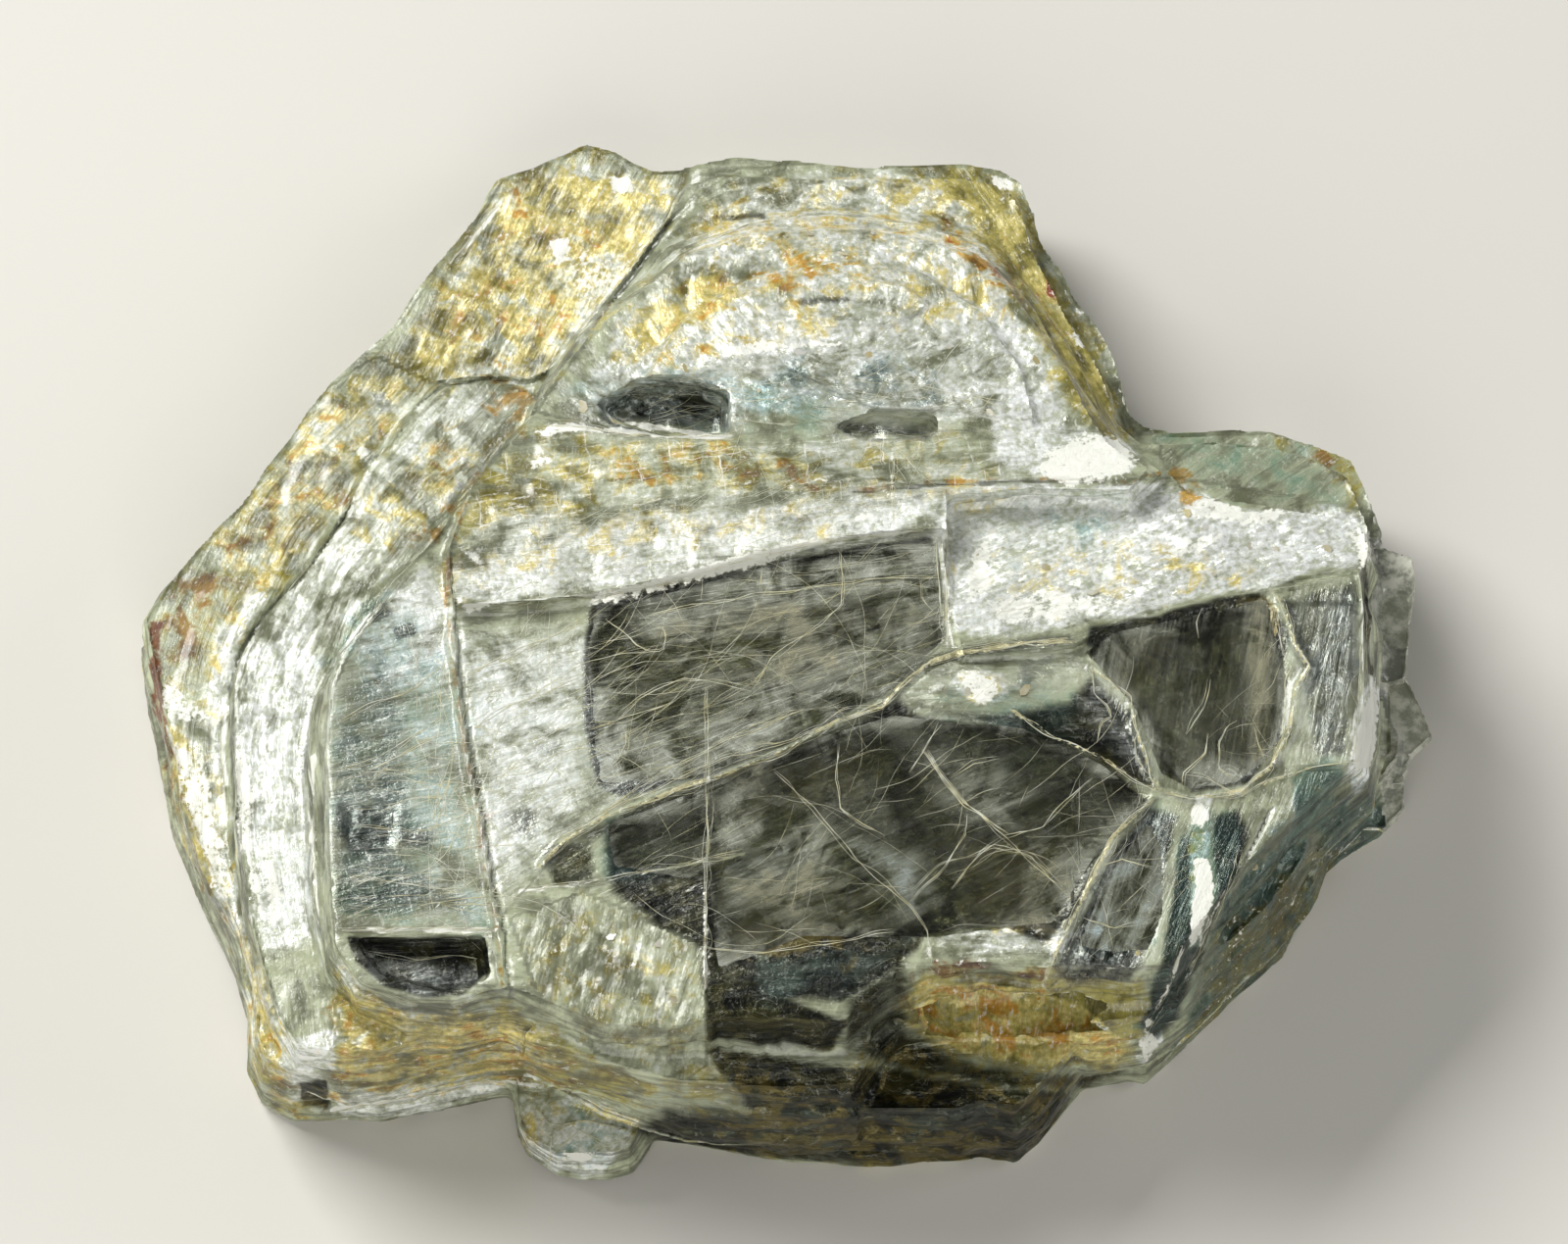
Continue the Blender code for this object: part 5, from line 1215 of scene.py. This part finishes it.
    # The pale lines are white leaf rims and in part painted light on shaded walls; the painted highlights join
    # them, all in the leaf-edge colour.
    pale = strewn(add, "pale", drift, 0.45, 0.8, 3.0)
    for share in (strewn(add, "flash", sparkle, 0.45, 0.7, 3.0), painted_glint):
        pale = add(MATH, (pale, share), operation="MAXIMUM")
    # Painted shade in the grooves.
    groove = add(MATH, (strewn(add, "groove", drift, 0.3, 0.8), 0.7), operation="MULTIPLY")
    vein = strewn(add, "vein", other, 0.5, 1.0, 3.0)
    for share, hue in ((veil, settings.milk), (lines, settings.edge), (groove, linear("#33352a")),
                       (vein, settings.vein), (pale, settings.edge)):
        colour = add(MIX, {0: share, 6: colour, 7: hue}, **PAINT)

    # Crumpled leaves are small flat mirrors, 2 by 0.7 mm and 0.6 mm across, each tipped its own way.
    stretched = add("ShaderNodeMapping", {"Vector": lay, "Scale": (0.45, 1.3, 0.8)})
    scales, chips = (add("ShaderNodeTexVoronoi", {"Vector": stretched, "Scale": fineness}, out="Color")
                     for fineness in (1.0, 3.1))
    tip = add(VECTOR, (scales, chips), operation="ADD")
    tip = add(VECTOR, (tip, (1.0, 1.0, 1.0)), operation="SUBTRACT")
    tilt = add(MATH, (crumple, 0.30, 0.04), operation="MULTIPLY_ADD")
    tip = add(VECTOR, {0: tip, 3: tilt}, operation="SCALE")
    facing = add(VECTOR, (add("ShaderNodeNewGeometry", out="Normal"), tip), operation="ADD")
    facing = add(VECTOR, (facing,), operation="NORMALIZE")
    height = add(MIX, {0: wall, 2: add(MATH, (sparkle, drift), operation="ADD"),
                       3: add(MATH, (leaves, 2.0), operation="MULTIPLY")}, **BLEND)
    facing = add(BUMP, {"Strength": 0.6, "Distance": 0.00030, "Height": height, "Normal": facing})

    matt = add(MATH, (wall, 0.8), operation="MULTIPLY")
    for share in (stains["ochre"], stains["rust"], veil, pale):
        matt = add(MATH, (matt, share), operation="MAXIMUM")
    matt = add(MATH, (matt, add(MATH, (deep, -0.7, 1.0), operation="MULTIPLY_ADD")), operation="MULTIPLY")
    matt = add(RANGE, (matt, 0.0, 1.0, 0.22, 0.55), **SOFT)
    glaze = add(RANGE, (deep, 0.0, 1.0, 0.4, 0.0), **SOFT)
    mirror = add(MATH, (silver, 0.12), operation="MULTIPLY")
    # Where painted shade lies outside the windows, a dark metal share keeps the reflection dark too.
    sunken = add(MATH, (add(MATH, (deep, clear), operation="SUBTRACT"), 0.6), operation="MULTIPLY")
    mirror = add(MATH, (mirror, sunken), operation="MAXIMUM")
    surface = add(SKIN, {"Base Color": colour, "Roughness": matt, "Metallic": mirror, "Normal": facing,
                         "IOR": MICA_IOR, "Coat Weight": glaze, "Coat Roughness": 0.15,
                         "Coat IOR": MICA_IOR})
    return finish_material(material, surface)


def clear_mica(settings):
    """Muscovite cleaved to a clear sheet: glass-smooth and faintly brown, with white splits inside it."""
    material, add, place = new_material("muscovite_clear_sheet")
    lay = add(MARK, attribute_name="lay", out="Vector")
    haze, streak = (add(MARK, attribute_name=name, out="Fac") for name in ("haze", "streak"))
    # Lumps: 7 mm clouds, streaks 10 by 1.7 mm, fibres 3 by 0.3 mm.
    cloud = clouds(add, place, (150.0, 150.0, 150.0), 8.0, 0.62, 0.9)
    drift = clouds(add, lay, (0.10, 0.6, 0.5), 7.0, 0.64, 0.9)
    felt = clouds(add, lay, (0.35, 3.6, 1.5), 4.0, 0.65, 0.6)
    veil = add(MIX, {0: 0.40, 2: cloud, 3: drift}, **BLEND)
    veil = add(MIX, {0: 0.12, 2: veil, 3: felt}, **BLEND)
    veil = add(MATH, (add(RANGE, (veil, 0.41, 0.63, 0.0, 1.3), **SOFT), haze), operation="MULTIPLY")
    fibres = coarse_and_fine(add, splits(add, lay, (0.04, 0.6, 0.5), 0.007, 3.0, 0.5),
                             splits(add, lay, (0.12, 1.7, 1.0), 0.018, 4.0, 0.8))
    web = splits(add, place, (220.0, 260.0, 260.0), 0.008, 4.0, 0.8)
    on_streaks = add(MATH, (haze, 0.4, 0.06), operation="MULTIPLY_ADD")
    on_streaks = add(MATH, (streak, 0.25, on_streaks), operation="MULTIPLY_ADD")
    on_haze = add(MATH, (haze, 0.5, 0.08), operation="MULTIPLY_ADD")
    lines = where_they_lie(add, ((fibres, on_streaks), (web, on_haze)))
    lines = add(MATH, (lines, add(RANGE, (cloud, 0.38, 0.56, 0.2, 1.0), **SOFT)), operation="MULTIPLY")
    white = add(MATH, (veil, lines), operation="ADD")
    white = add(MATH, (white, 0.93), operation="MINIMUM")
    milk = settings.milk
    for mark, hue in (("blue", "#93b2c8"), ("gold", "#b5a260")):
        milk = add(MIX, {0: strewn(add, mark, cloud), 6: milk, 7: linear(hue)}, **PAINT)
    surface = add(SKIN, {"Base Color": add(MIX, {0: white, 6: linear("#eceed8"), 7: milk}, **PAINT),
                         "Roughness": add(RANGE, (white, 0.0, 1.0, 0.05, 0.5), **SOFT), "IOR": MICA_IOR,
                         "Transmission Weight": add(MATH, (1.0, white), operation="SUBTRACT"),
                         "Normal": add(BUMP, {"Strength": 0.3, "Distance": 0.0002, "Height": cloud})})
    volume = add("ShaderNodeVolumeAbsorption", {"Color": linear("#a8a96c"), "Density": 850.0})
    return finish_material(material, surface, volume)


def page_mica():
    """Muscovite in a loose page a millimetre thick: clear grey-green, cloudy with fine splits."""
    material, add, place = new_material("muscovite_loose_page")
    # Clouds of 2.4 mm.
    cloud = add(NOISE, {"Vector": place, "Scale": 420.0, "Detail": 7.0, "Roughness": 0.7})
    share = add(RANGE, (cloud, 0.35, 0.65), **SOFT)
    colour = add(MIX, {0: share, 6: linear("#b4b9a4"), 7: linear("#e4e3d4")}, **PAINT)
    bump = add(BUMP, {"Strength": 0.4, "Distance": 0.0002, "Height": cloud})
    surface = add(SKIN, {"Base Color": colour, "Roughness": 0.16, "IOR": MICA_IOR,
                         "Transmission Weight": add(RANGE, (cloud, 0.4, 0.62, 0.60, 0.15), **SOFT),
                         "Normal": bump, "Coat Weight": 0.3, "Coat Roughness": 0.06})
    volume = add("ShaderNodeVolumeAbsorption", {"Color": linear("#b9bfa8"), "Density": 260.0})
    return finish_material(material, surface, volume)


def split_thread(settings):
    """Split mica along a buckled line: leaf edges and a little clay, cream white and dull."""
    material, add, place = new_material("mica_split_thread")
    # Spots of 2 mm.
    spots = add(NOISE, {"Vector": place, "Scale": 500.0, "Detail": 4.0, "Roughness": 0.6})
    share = add(RANGE, (spots, 0.4, 0.62))
    colour = add(MIX, {0: share, 6: linear("#dcdccb"), 7: settings.vein}, **PAINT)
    bump = add(BUMP, {"Strength": 0.4, "Distance": 0.0001, "Height": spots})
    return finish_material(material, add(SKIN, {"Base Color": colour, "Roughness": 0.38, "IOR": MICA_IOR,
                                                "Normal": bump}))


def loose_flake():
    """Muscovite flake, thin as foil: near white, mirror-like where it faces a light."""
    material, add, place = new_material("muscovite_flake")
    # Spots of 3 mm, so that each flake is nearly one colour.
    spots = add(NOISE, {"Vector": place, "Scale": 350.0, "Detail": 3.0})
    share = add(RANGE, (spots, 0.42, 0.62))
    colour = add(MIX, {0: share, 6: linear("#e8e7df"), 7: linear("#c9bd8c")}, **PAINT)
    return finish_material(material, add(SKIN, {"Base Color": colour, "Roughness": 0.14, "Metallic": 0.35,
                                                "IOR": MICA_IOR, "Coat Weight": 0.5, "Coat Roughness": 0.05}))


def matt_card(settings):
    """Pale uncoated card: dull, with paper fibres under a millimetre long."""
    material, add, place = new_material("matt_card")
    fibre = add(NOISE, {"Vector": place, "Scale": 1500.0, "Detail": 4.0})
    bump = add(BUMP, {"Strength": 0.1, "Distance": 0.0001, "Height": fibre})
    card = add(SKIN, {"Base Color": settings.floor, "Roughness": 0.9, "Normal": bump})
    return finish_material(material, card)


# ---------------------------------------------------------------- node trees that follow the surface


def geometry_tree(name, **inputs):
    """An empty tree with geometry in and out and the named inputs after it; and what adds a node to it."""
    tree = bpy.data.node_groups.new(name, "GeometryNodeTree")
    tree.interface.new_socket("Geometry", in_out="OUTPUT", socket_type="NodeSocketGeometry")
    for label, kind in {"Geometry": "Geometry", **inputs}.items():
        tree.interface.new_socket(label, in_out="INPUT", socket_type="NodeSocket" + kind)
    return tree, partial(node, tree), tree.nodes.new("NodeGroupInput").outputs


def end_tree(tree, geometry, material):
    """Ends a tree in Realize Instances and Set Material."""
    real = node(tree, "GeometryNodeRealizeInstances", {"Geometry": geometry})
    real = node(tree, "GeometryNodeSetMaterial", {"Geometry": real, "Material": material})
    out = tree.nodes.new("NodeGroupOutput")
    tree.links.new(real, out.inputs["Geometry"])
    return tree


def run_tree(obj, tree, values, name):
    """The object's mesh put through a tree with these inputs, as a new plain mesh object."""
    modifier = obj.modifiers.new(tree.name, "NODES")
    modifier.node_group = tree
    sockets = {item.name: item.identifier for item in tree.interface.items_tree if item.in_out == "INPUT"}
    for label, value in values.items():
        modifier[sockets[label]] = value
    return baked(obj, name)


def strand_tree():
    """Tubes along every edge path of the mesh, straying a little, thick and thin by a noise."""
    tree, add, given = geometry_tree("mica_strands", Girth="Float", Wander="Float", Seed="Int",
                                     Material="Material")
    curve = add("GeometryNodeMeshToCurve", {"Mesh": given["Geometry"]}, out="Curve")
    spot = add("GeometryNodeInputPosition")
    # Bends of 2.4 mm, mostly sideways, and swellings of 1 mm.
    stray = add(NOISE, {"Vector": spot, "W": given["Seed"], "Scale": 420.0, "Detail": 2.0}, out="Color",
                noise_dimensions="4D")
    stray = add(VECTOR, (stray, (0.5, 0.5, 0.42)), operation="SUBTRACT")
    stray = add(VECTOR, {0: stray, 3: given["Wander"]}, operation="SCALE")
    stray = add(VECTOR, (stray, (2.0, 2.0, 0.25)), operation="MULTIPLY")
    curve = add("GeometryNodeSetPosition", {"Geometry": curve, "Offset": stray})
    thick = add(NOISE, {"Vector": spot, "Scale": 900.0, "Detail": 2.0})
    thick = add(RANGE, (thick, 0.3, 0.7, 0.35, 1.35))
    own = add("GeometryNodeInputNamedAttribute", {"Name": "girth"}, data_type="FLOAT")
    for share in (own, given["Girth"]):
        thick = add(MATH, (thick, share), operation="MULTIPLY")
    ring = add("GeometryNodeCurvePrimitiveCircle", {"Resolution": 5, "Radius": 1.0})
    tube = add("GeometryNodeCurveToMesh",
               {"Curve": curve, "Profile Curve": ring, "Scale": thick, "Fill Caps": True})
    tube = add("GeometryNodeSetShadeSmooth", {"Geometry": tube})
    return end_tree(tree, tube, given["Material"])


def flake_tree():
    """Thin six-sided flakes scattered where the mesh is marked as crumpled, lying nearly flat."""
    tree, add, given = geometry_tree("mica_flakes", Size="Float", Density="Float", Seed="Int",
                                     Material="Material")
    dense = add("GeometryNodeInputNamedAttribute", {"Name": "flaky"}, data_type="FLOAT")
    dense = add(MATH, (dense, given["Density"]), operation="MULTIPLY")
    scatter = add("GeometryNodeDistributePointsOnFaces",
                  {"Mesh": given["Geometry"], "Density": dense, "Seed": given["Seed"]}).node.outputs
    plate = add("GeometryNodeMeshCylinder", {"Vertices": 6, "Radius": 1.0, "Depth": 0.07})
    size = add("FunctionNodeRandomValue", {2: 0.18, 3: 1.0, "Seed": 11}, out=1, data_type="FLOAT")
    size = add(MATH, (size, 1.8), operation="POWER")
    size = add(MATH, (size, given["Size"]), operation="MULTIPLY")
    slim = add("FunctionNodeRandomValue", {2: 0.45, 3: 1.0, "Seed": 12}, out=1, data_type="FLOAT")
    slim = add(MATH, (slim, size), operation="MULTIPLY")
    shape = add("ShaderNodeCombineXYZ", (size, slim, size))
    turn = add("FunctionNodeRandomValue", {0: (-0.22, -0.22, 0.0), 1: (0.22, 0.22, 6.28), "Seed": 13},
               data_type="FLOAT_VECTOR")
    turn = add("FunctionNodeEulerToRotation", {"Euler": turn})
    laid = add("FunctionNodeRotateRotation", {"Rotation": scatter["Rotation"], "Rotate By": turn},
               rotation_space="LOCAL")
    flakes = add("GeometryNodeInstanceOnPoints",
                 {"Points": scatter["Points"], "Instance": plate, "Rotation": laid, "Scale": shape})
    return end_tree(tree, flakes, given["Material"])


# ---------------------------------------------------------------- pieces


def top_of_crystal():
    """A tree of every finished surface, to lay threads on."""
    points, faces = [], []
    for obj in bpy.context.scene.objects:
        if obj.type == "MESH" and obj.get("carries_threads"):
            start = len(points)
            points += [v.co.copy() for v in obj.data.vertices]
            faces += [[start + i for i in p.vertices] for p in obj.data.polygons]
    return BVHTree.FromPolygons(points, faces)


def laid_down(tree, across, up, lift=0.02):
    """The point of the surface, in millimetres, that shows at a place in the drawing."""
    start = DRAWING_ORIGIN + (across, 0, 0) + UP_THE_DRAWING * up + TOWARDS_EYE * 80
    hit, normal, _, _ = tree.ray_cast(Vector(start) * MM, Vector(-TOWARDS_EYE))
    if hit is None:
        return None
    return np.array(hit) / MM + np.array(normal) * lift


def evenly(path, step):
    """Points along a drawn path, step millimetres apart."""
    path = np.asarray(path, float)
    lengths = np.hypot(*np.diff(path, axis=0).T)
    far = np.concatenate([[0], np.cumsum(lengths)])
    at = np.linspace(0, far[-1], max(2, int(far[-1] / step) + 1))
    return np.stack([np.interp(at, far, path[:, i]) for i in (0, 1)], axis=1)


def path_mesh(name, paths):
    """Edge paths as a mesh, each point carrying its girth."""
    points, edges, girths = [], [], []
    for path, girth in paths:
        start = len(points)
        points += [tuple(np.asarray(p) * MM) for p in path]
        edges += [(start + i, start + i + 1) for i in range(len(path) - 1)]
        taper = np.minimum(1, np.minimum(np.arange(len(path)), np.arange(len(path))[::-1]) / 4 + 0.25)
        girths += list(girth * taper)
    data = bpy.data.meshes.new(name)
    data.from_pydata(points, edges, [])
    data.attributes.new("girth", "FLOAT", "POINT").data.foreach_set("value", np.array(girths, np.float32))
    obj = bpy.data.objects.new(name, data)
    bpy.context.scene.collection.objects.link(obj)
    return obj


class MICA_OT_books(bpy.types.Operator):
    """Make the four books of leaves with their relief, marks and stains"""

    bl_idname = "mica.books"
    bl_label = "Books of leaves"

    def execute(self, context):
        settings = context.scene.mica_crystal
        whole = solid_copy(settings.grain)
        data = whole.data
        points, normals = points_of(data), normals_of(data)
        moved, clear = relief(points, normals, settings)
        base = points[:, 2] < 0.5
        moved[base] = points[base]
        low, high = (np.array(corner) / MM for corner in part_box(NODE))
        moved = np.clip(moved, low, high)
        put_points(data, moved)
        mark_mesh(data, marks_on(points, normals, clear), points)
        data.polygons.foreach_set("use_smooth", np.ones(len(data.polygons), bool))
        data.materials.clear()
        data.materials.append(cleaved_mica(settings))
        data.materials.append(page_mica())
        corners = np.empty(len(data.polygons), np.int32)
        data.polygons.foreach_get("loop_start", corners)
        first = np.empty(len(data.loops), np.int32)
        data.loops.foreach_get("vertex_index", first)
        spots = drawn_at(points)
        lowest, highest = PAGES_BETWEEN
        loose = (depth_inside(spots, PAGE_SIDE, 1.0) > 0) & (points[:, 2] > lowest) & (points[:, 2] < highest)
        data.polygons.foreach_set("material_index", loose[first[corners]].astype(np.int32))
        for name, bottom, top in zip(BOOK_NAMES, CLEAVED_AT, CLEAVED_AT[1:]):
            book = cleaved(data, name, bottom, top)
            book["carries_threads"] = True
            belongs(book, NODE)
            print(name, sum(len(p.vertices) - 2 for p in book.data.polygons), "triangles")
        bpy.data.objects.remove(whole)
        return {"FINISHED"}


class MICA_OT_windows(bpy.types.Operator):
    """Lay a clear sheet over each dark window"""

    bl_idname = "mica.windows"
    bl_label = "Clear windows"

    def execute(self, context):
        settings = context.scene.mica_windows
        sheet = clear_mica(context.scene.mica_crystal)
        thickness = settings.thickness / MM
        for name, (rim, _) in WINDOWS.items():
            edge = evenly(rim + rim[:1], SHEET_MESH)[:-1]
            middle = edge.mean(axis=0)
            edge = edge + (edge - middle) / np.hypot(*(edge - middle).T)[:, None] * 0.25
            low, high = edge.min(axis=0), edge.max(axis=0)
            across, up = (np.arange(*ends, SHEET_MESH) for ends in zip(low, high))
            grid = np.stack(np.meshgrid(across, up), axis=-1).reshape(-1, 2)
            grid = grid[depth_inside(grid, [tuple(p) for p in edge], 2.0) > 0.5]
            flat = [Vector(p) for p in np.concatenate([edge, grid])]
            loop = [(i, (i + 1) % len(edge)) for i in range(len(edge))]
            spots, _, faces, *_ = delaunay_2d_cdt(flat, loop, [], 1, 1e-5)
            spots = np.array([tuple(p) for p in spots])
            level = PLATE_TOP - 0.12
            top = np.stack([spots[:, 0], (spots[:, 1] - level * math.sin(TILT)) / math.cos(TILT),
                            np.full(len(spots), level)], axis=1) + DRAWING_ORIGIN
            count = len(top)
            swell = settings.swell / MM * roughness(top * (1, 1, 0), 9.0, 17)
            under = top - (0, 0, thickness)
            top[:, 2] += swell
            sides = {side: True for face in faces for side in zip(face, face[1:] + face[:1])}
            skirt = [(b, a, a + count, b + count) for a, b in sides if (b, a) not in sides]
            shell = [tuple(f) for f in faces] + [tuple(i + count for i in reversed(f)) for f in faces] + skirt
            obj = mesh_object(name, np.concatenate([top, under]), shell)
            shaped = bmesh.new()
            shaped.from_mesh(obj.data)
            bmesh.ops.recalc_face_normals(shaped, faces=shaped.faces)
            shaped.to_mesh(obj.data)
            shaped.free()
            obj.data.polygons.foreach_set("use_smooth", np.ones(len(obj.data.polygons), bool))
            obj.data.set_sharp_from_angle(angle=math.radians(40))
            obj.data.materials.append(sheet)
            placed = points_of(obj.data)
            drawn = drawn_at(placed)
            ragged = 1.3 + 1.1 * lumps(placed, 5.0, 19)
            rim_haze = 0.35 * (1 - eased(depth_inside(drawn, rim, 2.5), 0.0, ragged))
            marks = {kind: patches(drawn, kind) for kind in ("haze", "streak", "gold", "blue")}
            marks["haze"] = np.maximum(marks["haze"], rim_haze)
            mark_mesh(obj.data, marks, placed)
            obj["carries_threads"] = True
            belongs(obj)
        return {"FINISHED"}


class MICA_OT_threads(bpy.types.Operator):
    """Run split threads along the veins and scatter hairs over the windows"""

    bl_idname = "mica.threads"
    bl_label = "Veins and hairs"

    def execute(self, context):
        settings = context.scene.mica_threads
        tree, ground = strand_tree(), top_of_crystal()
        material = split_thread(context.scene.mica_crystal)
        dice_box = np.random.default_rng(settings.seed)
        veins = []
        for strength, half_width, path in LINES["vein"] + LINES["pale"] + LINES["wisp"]:
            for strand in range(4 if half_width > BROAD_VEIN else 2):
                line = evenly(pairs(path), VEIN_STEP)
                sway = lumps(np.c_[line, np.full(len(line), strand * 9.7)], (3.2, 3.2, 1), 5 + strand)
                side = np.gradient(line, axis=0)
                side = np.stack([-side[:, 1], side[:, 0]], axis=1) / np.hypot(*side.T)[:, None]
                line = line + side * (sway * (half_width + 0.10 + 0.18 * strand) * 1.2)[:, None]
                laid = [laid_down(ground, *p) for p in line]
                self.keep(veins, laid, strength * STRAND_GIRTHS[strand])
        hairs = []
        for share, degrees, spread, reach, girth, rim in HAIRS:
            rim = pairs(rim)
            low, high = np.min(rim, axis=0), np.max(rim, axis=0)
            starts = dice_box.uniform(low, high, (int(share * settings.hairs), 2))
            for start in starts[within(starts, rim)]:
                slant = math.radians(dice_box.normal(degrees, spread))
                bend = dice_box.normal(0, 0.03)
                line = [start]
                for _ in range(int(dice_box.gamma(2.6, reach / 2.6) / HAIR_STEP)):
                    slant += bend + dice_box.normal(0, 0.07)
                    line.append(line[-1] + HAIR_STEP * np.array([math.cos(slant), math.sin(slant)]))
                laid = [laid_down(ground, *p, lift=0.01) for p in line]
                self.keep(hairs, laid, girth * dice_box.uniform(0.5, 1.3))
        for name, paths, girth, wander in (
                ("vein_threads", veins, settings.vein_girth, settings.wander),
                ("window_hairs", hairs, settings.hair_girth, settings.wander * 0.4)):
            values = {"Girth": girth, "Wander": wander, "Seed": settings.seed, "Material": material}
            run = run_tree(path_mesh(name + "_paths", paths), tree, values, name)
            print(name, sum(len(p.vertices) - 2 for p in run.data.polygons), "triangles")
            belongs(run)
        return {"FINISHED"}

    @staticmethod
    def keep(paths, laid, girth):
        """Adds the unbroken runs of a laid path: it is broken where the surface drops away."""
        run = []
        for point in laid + [None]:
            if point is not None and (not run or np.linalg.norm(point - run[-1]) < LONGEST_STEP):
                run.append(point)
                continue
            if len(run) >= FEWEST_POINTS:
                paths.append((run, girth))
            run = [] if point is None else [point]


class MICA_OT_flakes(bpy.types.Operator):
    """Scatter thin loose flakes over the crumpled silver places"""

    bl_idname = "mica.flakes"
    bl_label = "Loose flakes"

    def execute(self, context):
        settings = context.scene.mica_flakes
        ground = bpy.data.objects["plate_book"].data.copy()
        ground.attributes.new("flaky", "FLOAT", "POINT")
        count = len(ground.vertices)
        crumple, wall = np.empty(count, np.float32), np.empty(count, np.float32)
        ground.attributes["crumple"].data.foreach_get("value", crumple)
        ground.attributes["wall"].data.foreach_get("value", wall)
        normals = normals_of(ground)
        flaky = np.clip(crumple - 0.3, 0, 1) * (1 - wall) * (normals[:, 2] > 0.6)
        ground.attributes["flaky"].data.foreach_set("value", flaky.astype(np.float32))
        obj = bpy.data.objects.new("flake_ground", ground)
        context.scene.collection.objects.link(obj)
        run = run_tree(obj, flake_tree(), {"Size": settings.size, "Density": settings.count / CRUMPLED_AREA,
                                           "Seed": settings.seed, "Material": loose_flake()}, "loose_flakes")
        print("loose_flakes", sum(len(p.vertices) - 2 for p in run.data.polygons), "triangles")
        belongs(run)
        return {"FINISHED"}


class MICA_OT_stage(bpy.types.Operator):
    """Make the pale floor, the soft lights and the camera"""

    bl_idname = "mica.stage"
    bl_label = "Stage"

    def execute(self, context):
        settings = context.scene.mica_stage
        scene = context.scene
        floor = mesh_object("floor", [(-900, -900, -0.05), (900, -900, -0.05), (900, 900, -0.05),
                                      (-900, 900, -0.05)], [(0, 1, 2, 3)])
        floor.data.materials.append(matt_card(settings))

        data = bpy.data.cameras.new("camera")
        data.sensor_width = 36.0
        data.lens = 36.0 * settings.distance / settings.view_width
        data.clip_start, data.clip_end = 0.05, 10.0
        camera = bpy.data.objects.new("camera", data)
        scene.collection.objects.link(camera)
        towards = Vector(TOWARDS_EYE)
        camera.location = LOOKED_AT + towards * settings.distance
        camera.rotation_euler = towards.to_track_quat("Z", "Y").to_euler()
        scene.camera = camera

        for name, place, size, power, colour in (
                ("key", (-0.48, 0.42, 0.70), (0.50, 0.35), settings.key_power, "#fefefc"),
                ("fill", (-0.10, -0.75, 0.58), (0.7, 0.7), settings.fill_power, "#fffef8"),
                ("side", (0.85, 0.05, 0.45), (0.4, 0.4), settings.fill_power * 0.45, "#ffffff")):
            light = bpy.data.lights.new(name, "AREA")
            light.shape, light.size, light.size_y = "RECTANGLE", size[0], size[1]
            light.energy = power
            light.color = linear(colour)
            lamp = bpy.data.objects.new(name, light)
            lamp.location = place
            lamp.rotation_euler = (Vector(place) - LOOKED_AT).to_track_quat("Z", "Y").to_euler()
            scene.collection.objects.link(lamp)

        world = bpy.data.worlds.new("soft room")
        world.use_nodes = True
        sky = world.node_tree.nodes["Background"]
        sky.inputs["Color"].default_value = (*linear("#dfe3e8"), 1.0)
        sky.inputs["Strength"].default_value = 0.15
        scene.world = world
        scene.view_settings.view_transform = "Standard"
        return {"FINISHED"}


class MICA_PT_panel(bpy.types.Panel):
    """Shows a button for each step of the crystal and the settings under it"""

    bl_label = "Mica crystal"
    bl_idname = "MICA_PT_panel"
    bl_space_type = "VIEW_3D"
    bl_region_type = "UI"
    bl_category = "Mica"

    def draw(self, context):
        for group, operator in (("mica_crystal", "mica.books"), ("mica_windows", "mica.windows"),
                                ("mica_threads", "mica.threads"), ("mica_flakes", "mica.flakes"),
                                ("mica_stage", "mica.stage")):
            box = self.layout.box()
            box.operator(operator)
            settings = getattr(context.scene, group)
            for name in settings.__annotations__:
                box.prop(settings, name)


GROUPS = {"mica_crystal": CrystalSettings, "mica_windows": WindowSettings, "mica_threads": ThreadSettings,
          "mica_flakes": FlakeSettings, "mica_stage": StageSettings}
CLASSES = (*GROUPS.values(), MICA_OT_books, MICA_OT_windows, MICA_OT_threads, MICA_OT_flakes, MICA_OT_stage,
           MICA_PT_panel)


def register():
    for cls in CLASSES:
        bpy.utils.register_class(cls)
    for name, cls in GROUPS.items():
        setattr(bpy.types.Scene, name, bpy.props.PointerProperty(type=cls))


def unregister():
    for name in GROUPS:
        delattr(bpy.types.Scene, name)
    for cls in reversed(CLASSES):
        bpy.utils.unregister_class(cls)


def main():
    register()
    bpy.ops.mica.stage()
    bpy.ops.mica.books()
    bpy.ops.mica.windows()
    bpy.ops.mica.threads()
    bpy.ops.mica.flakes()


if __name__ == "__main__":
    main()
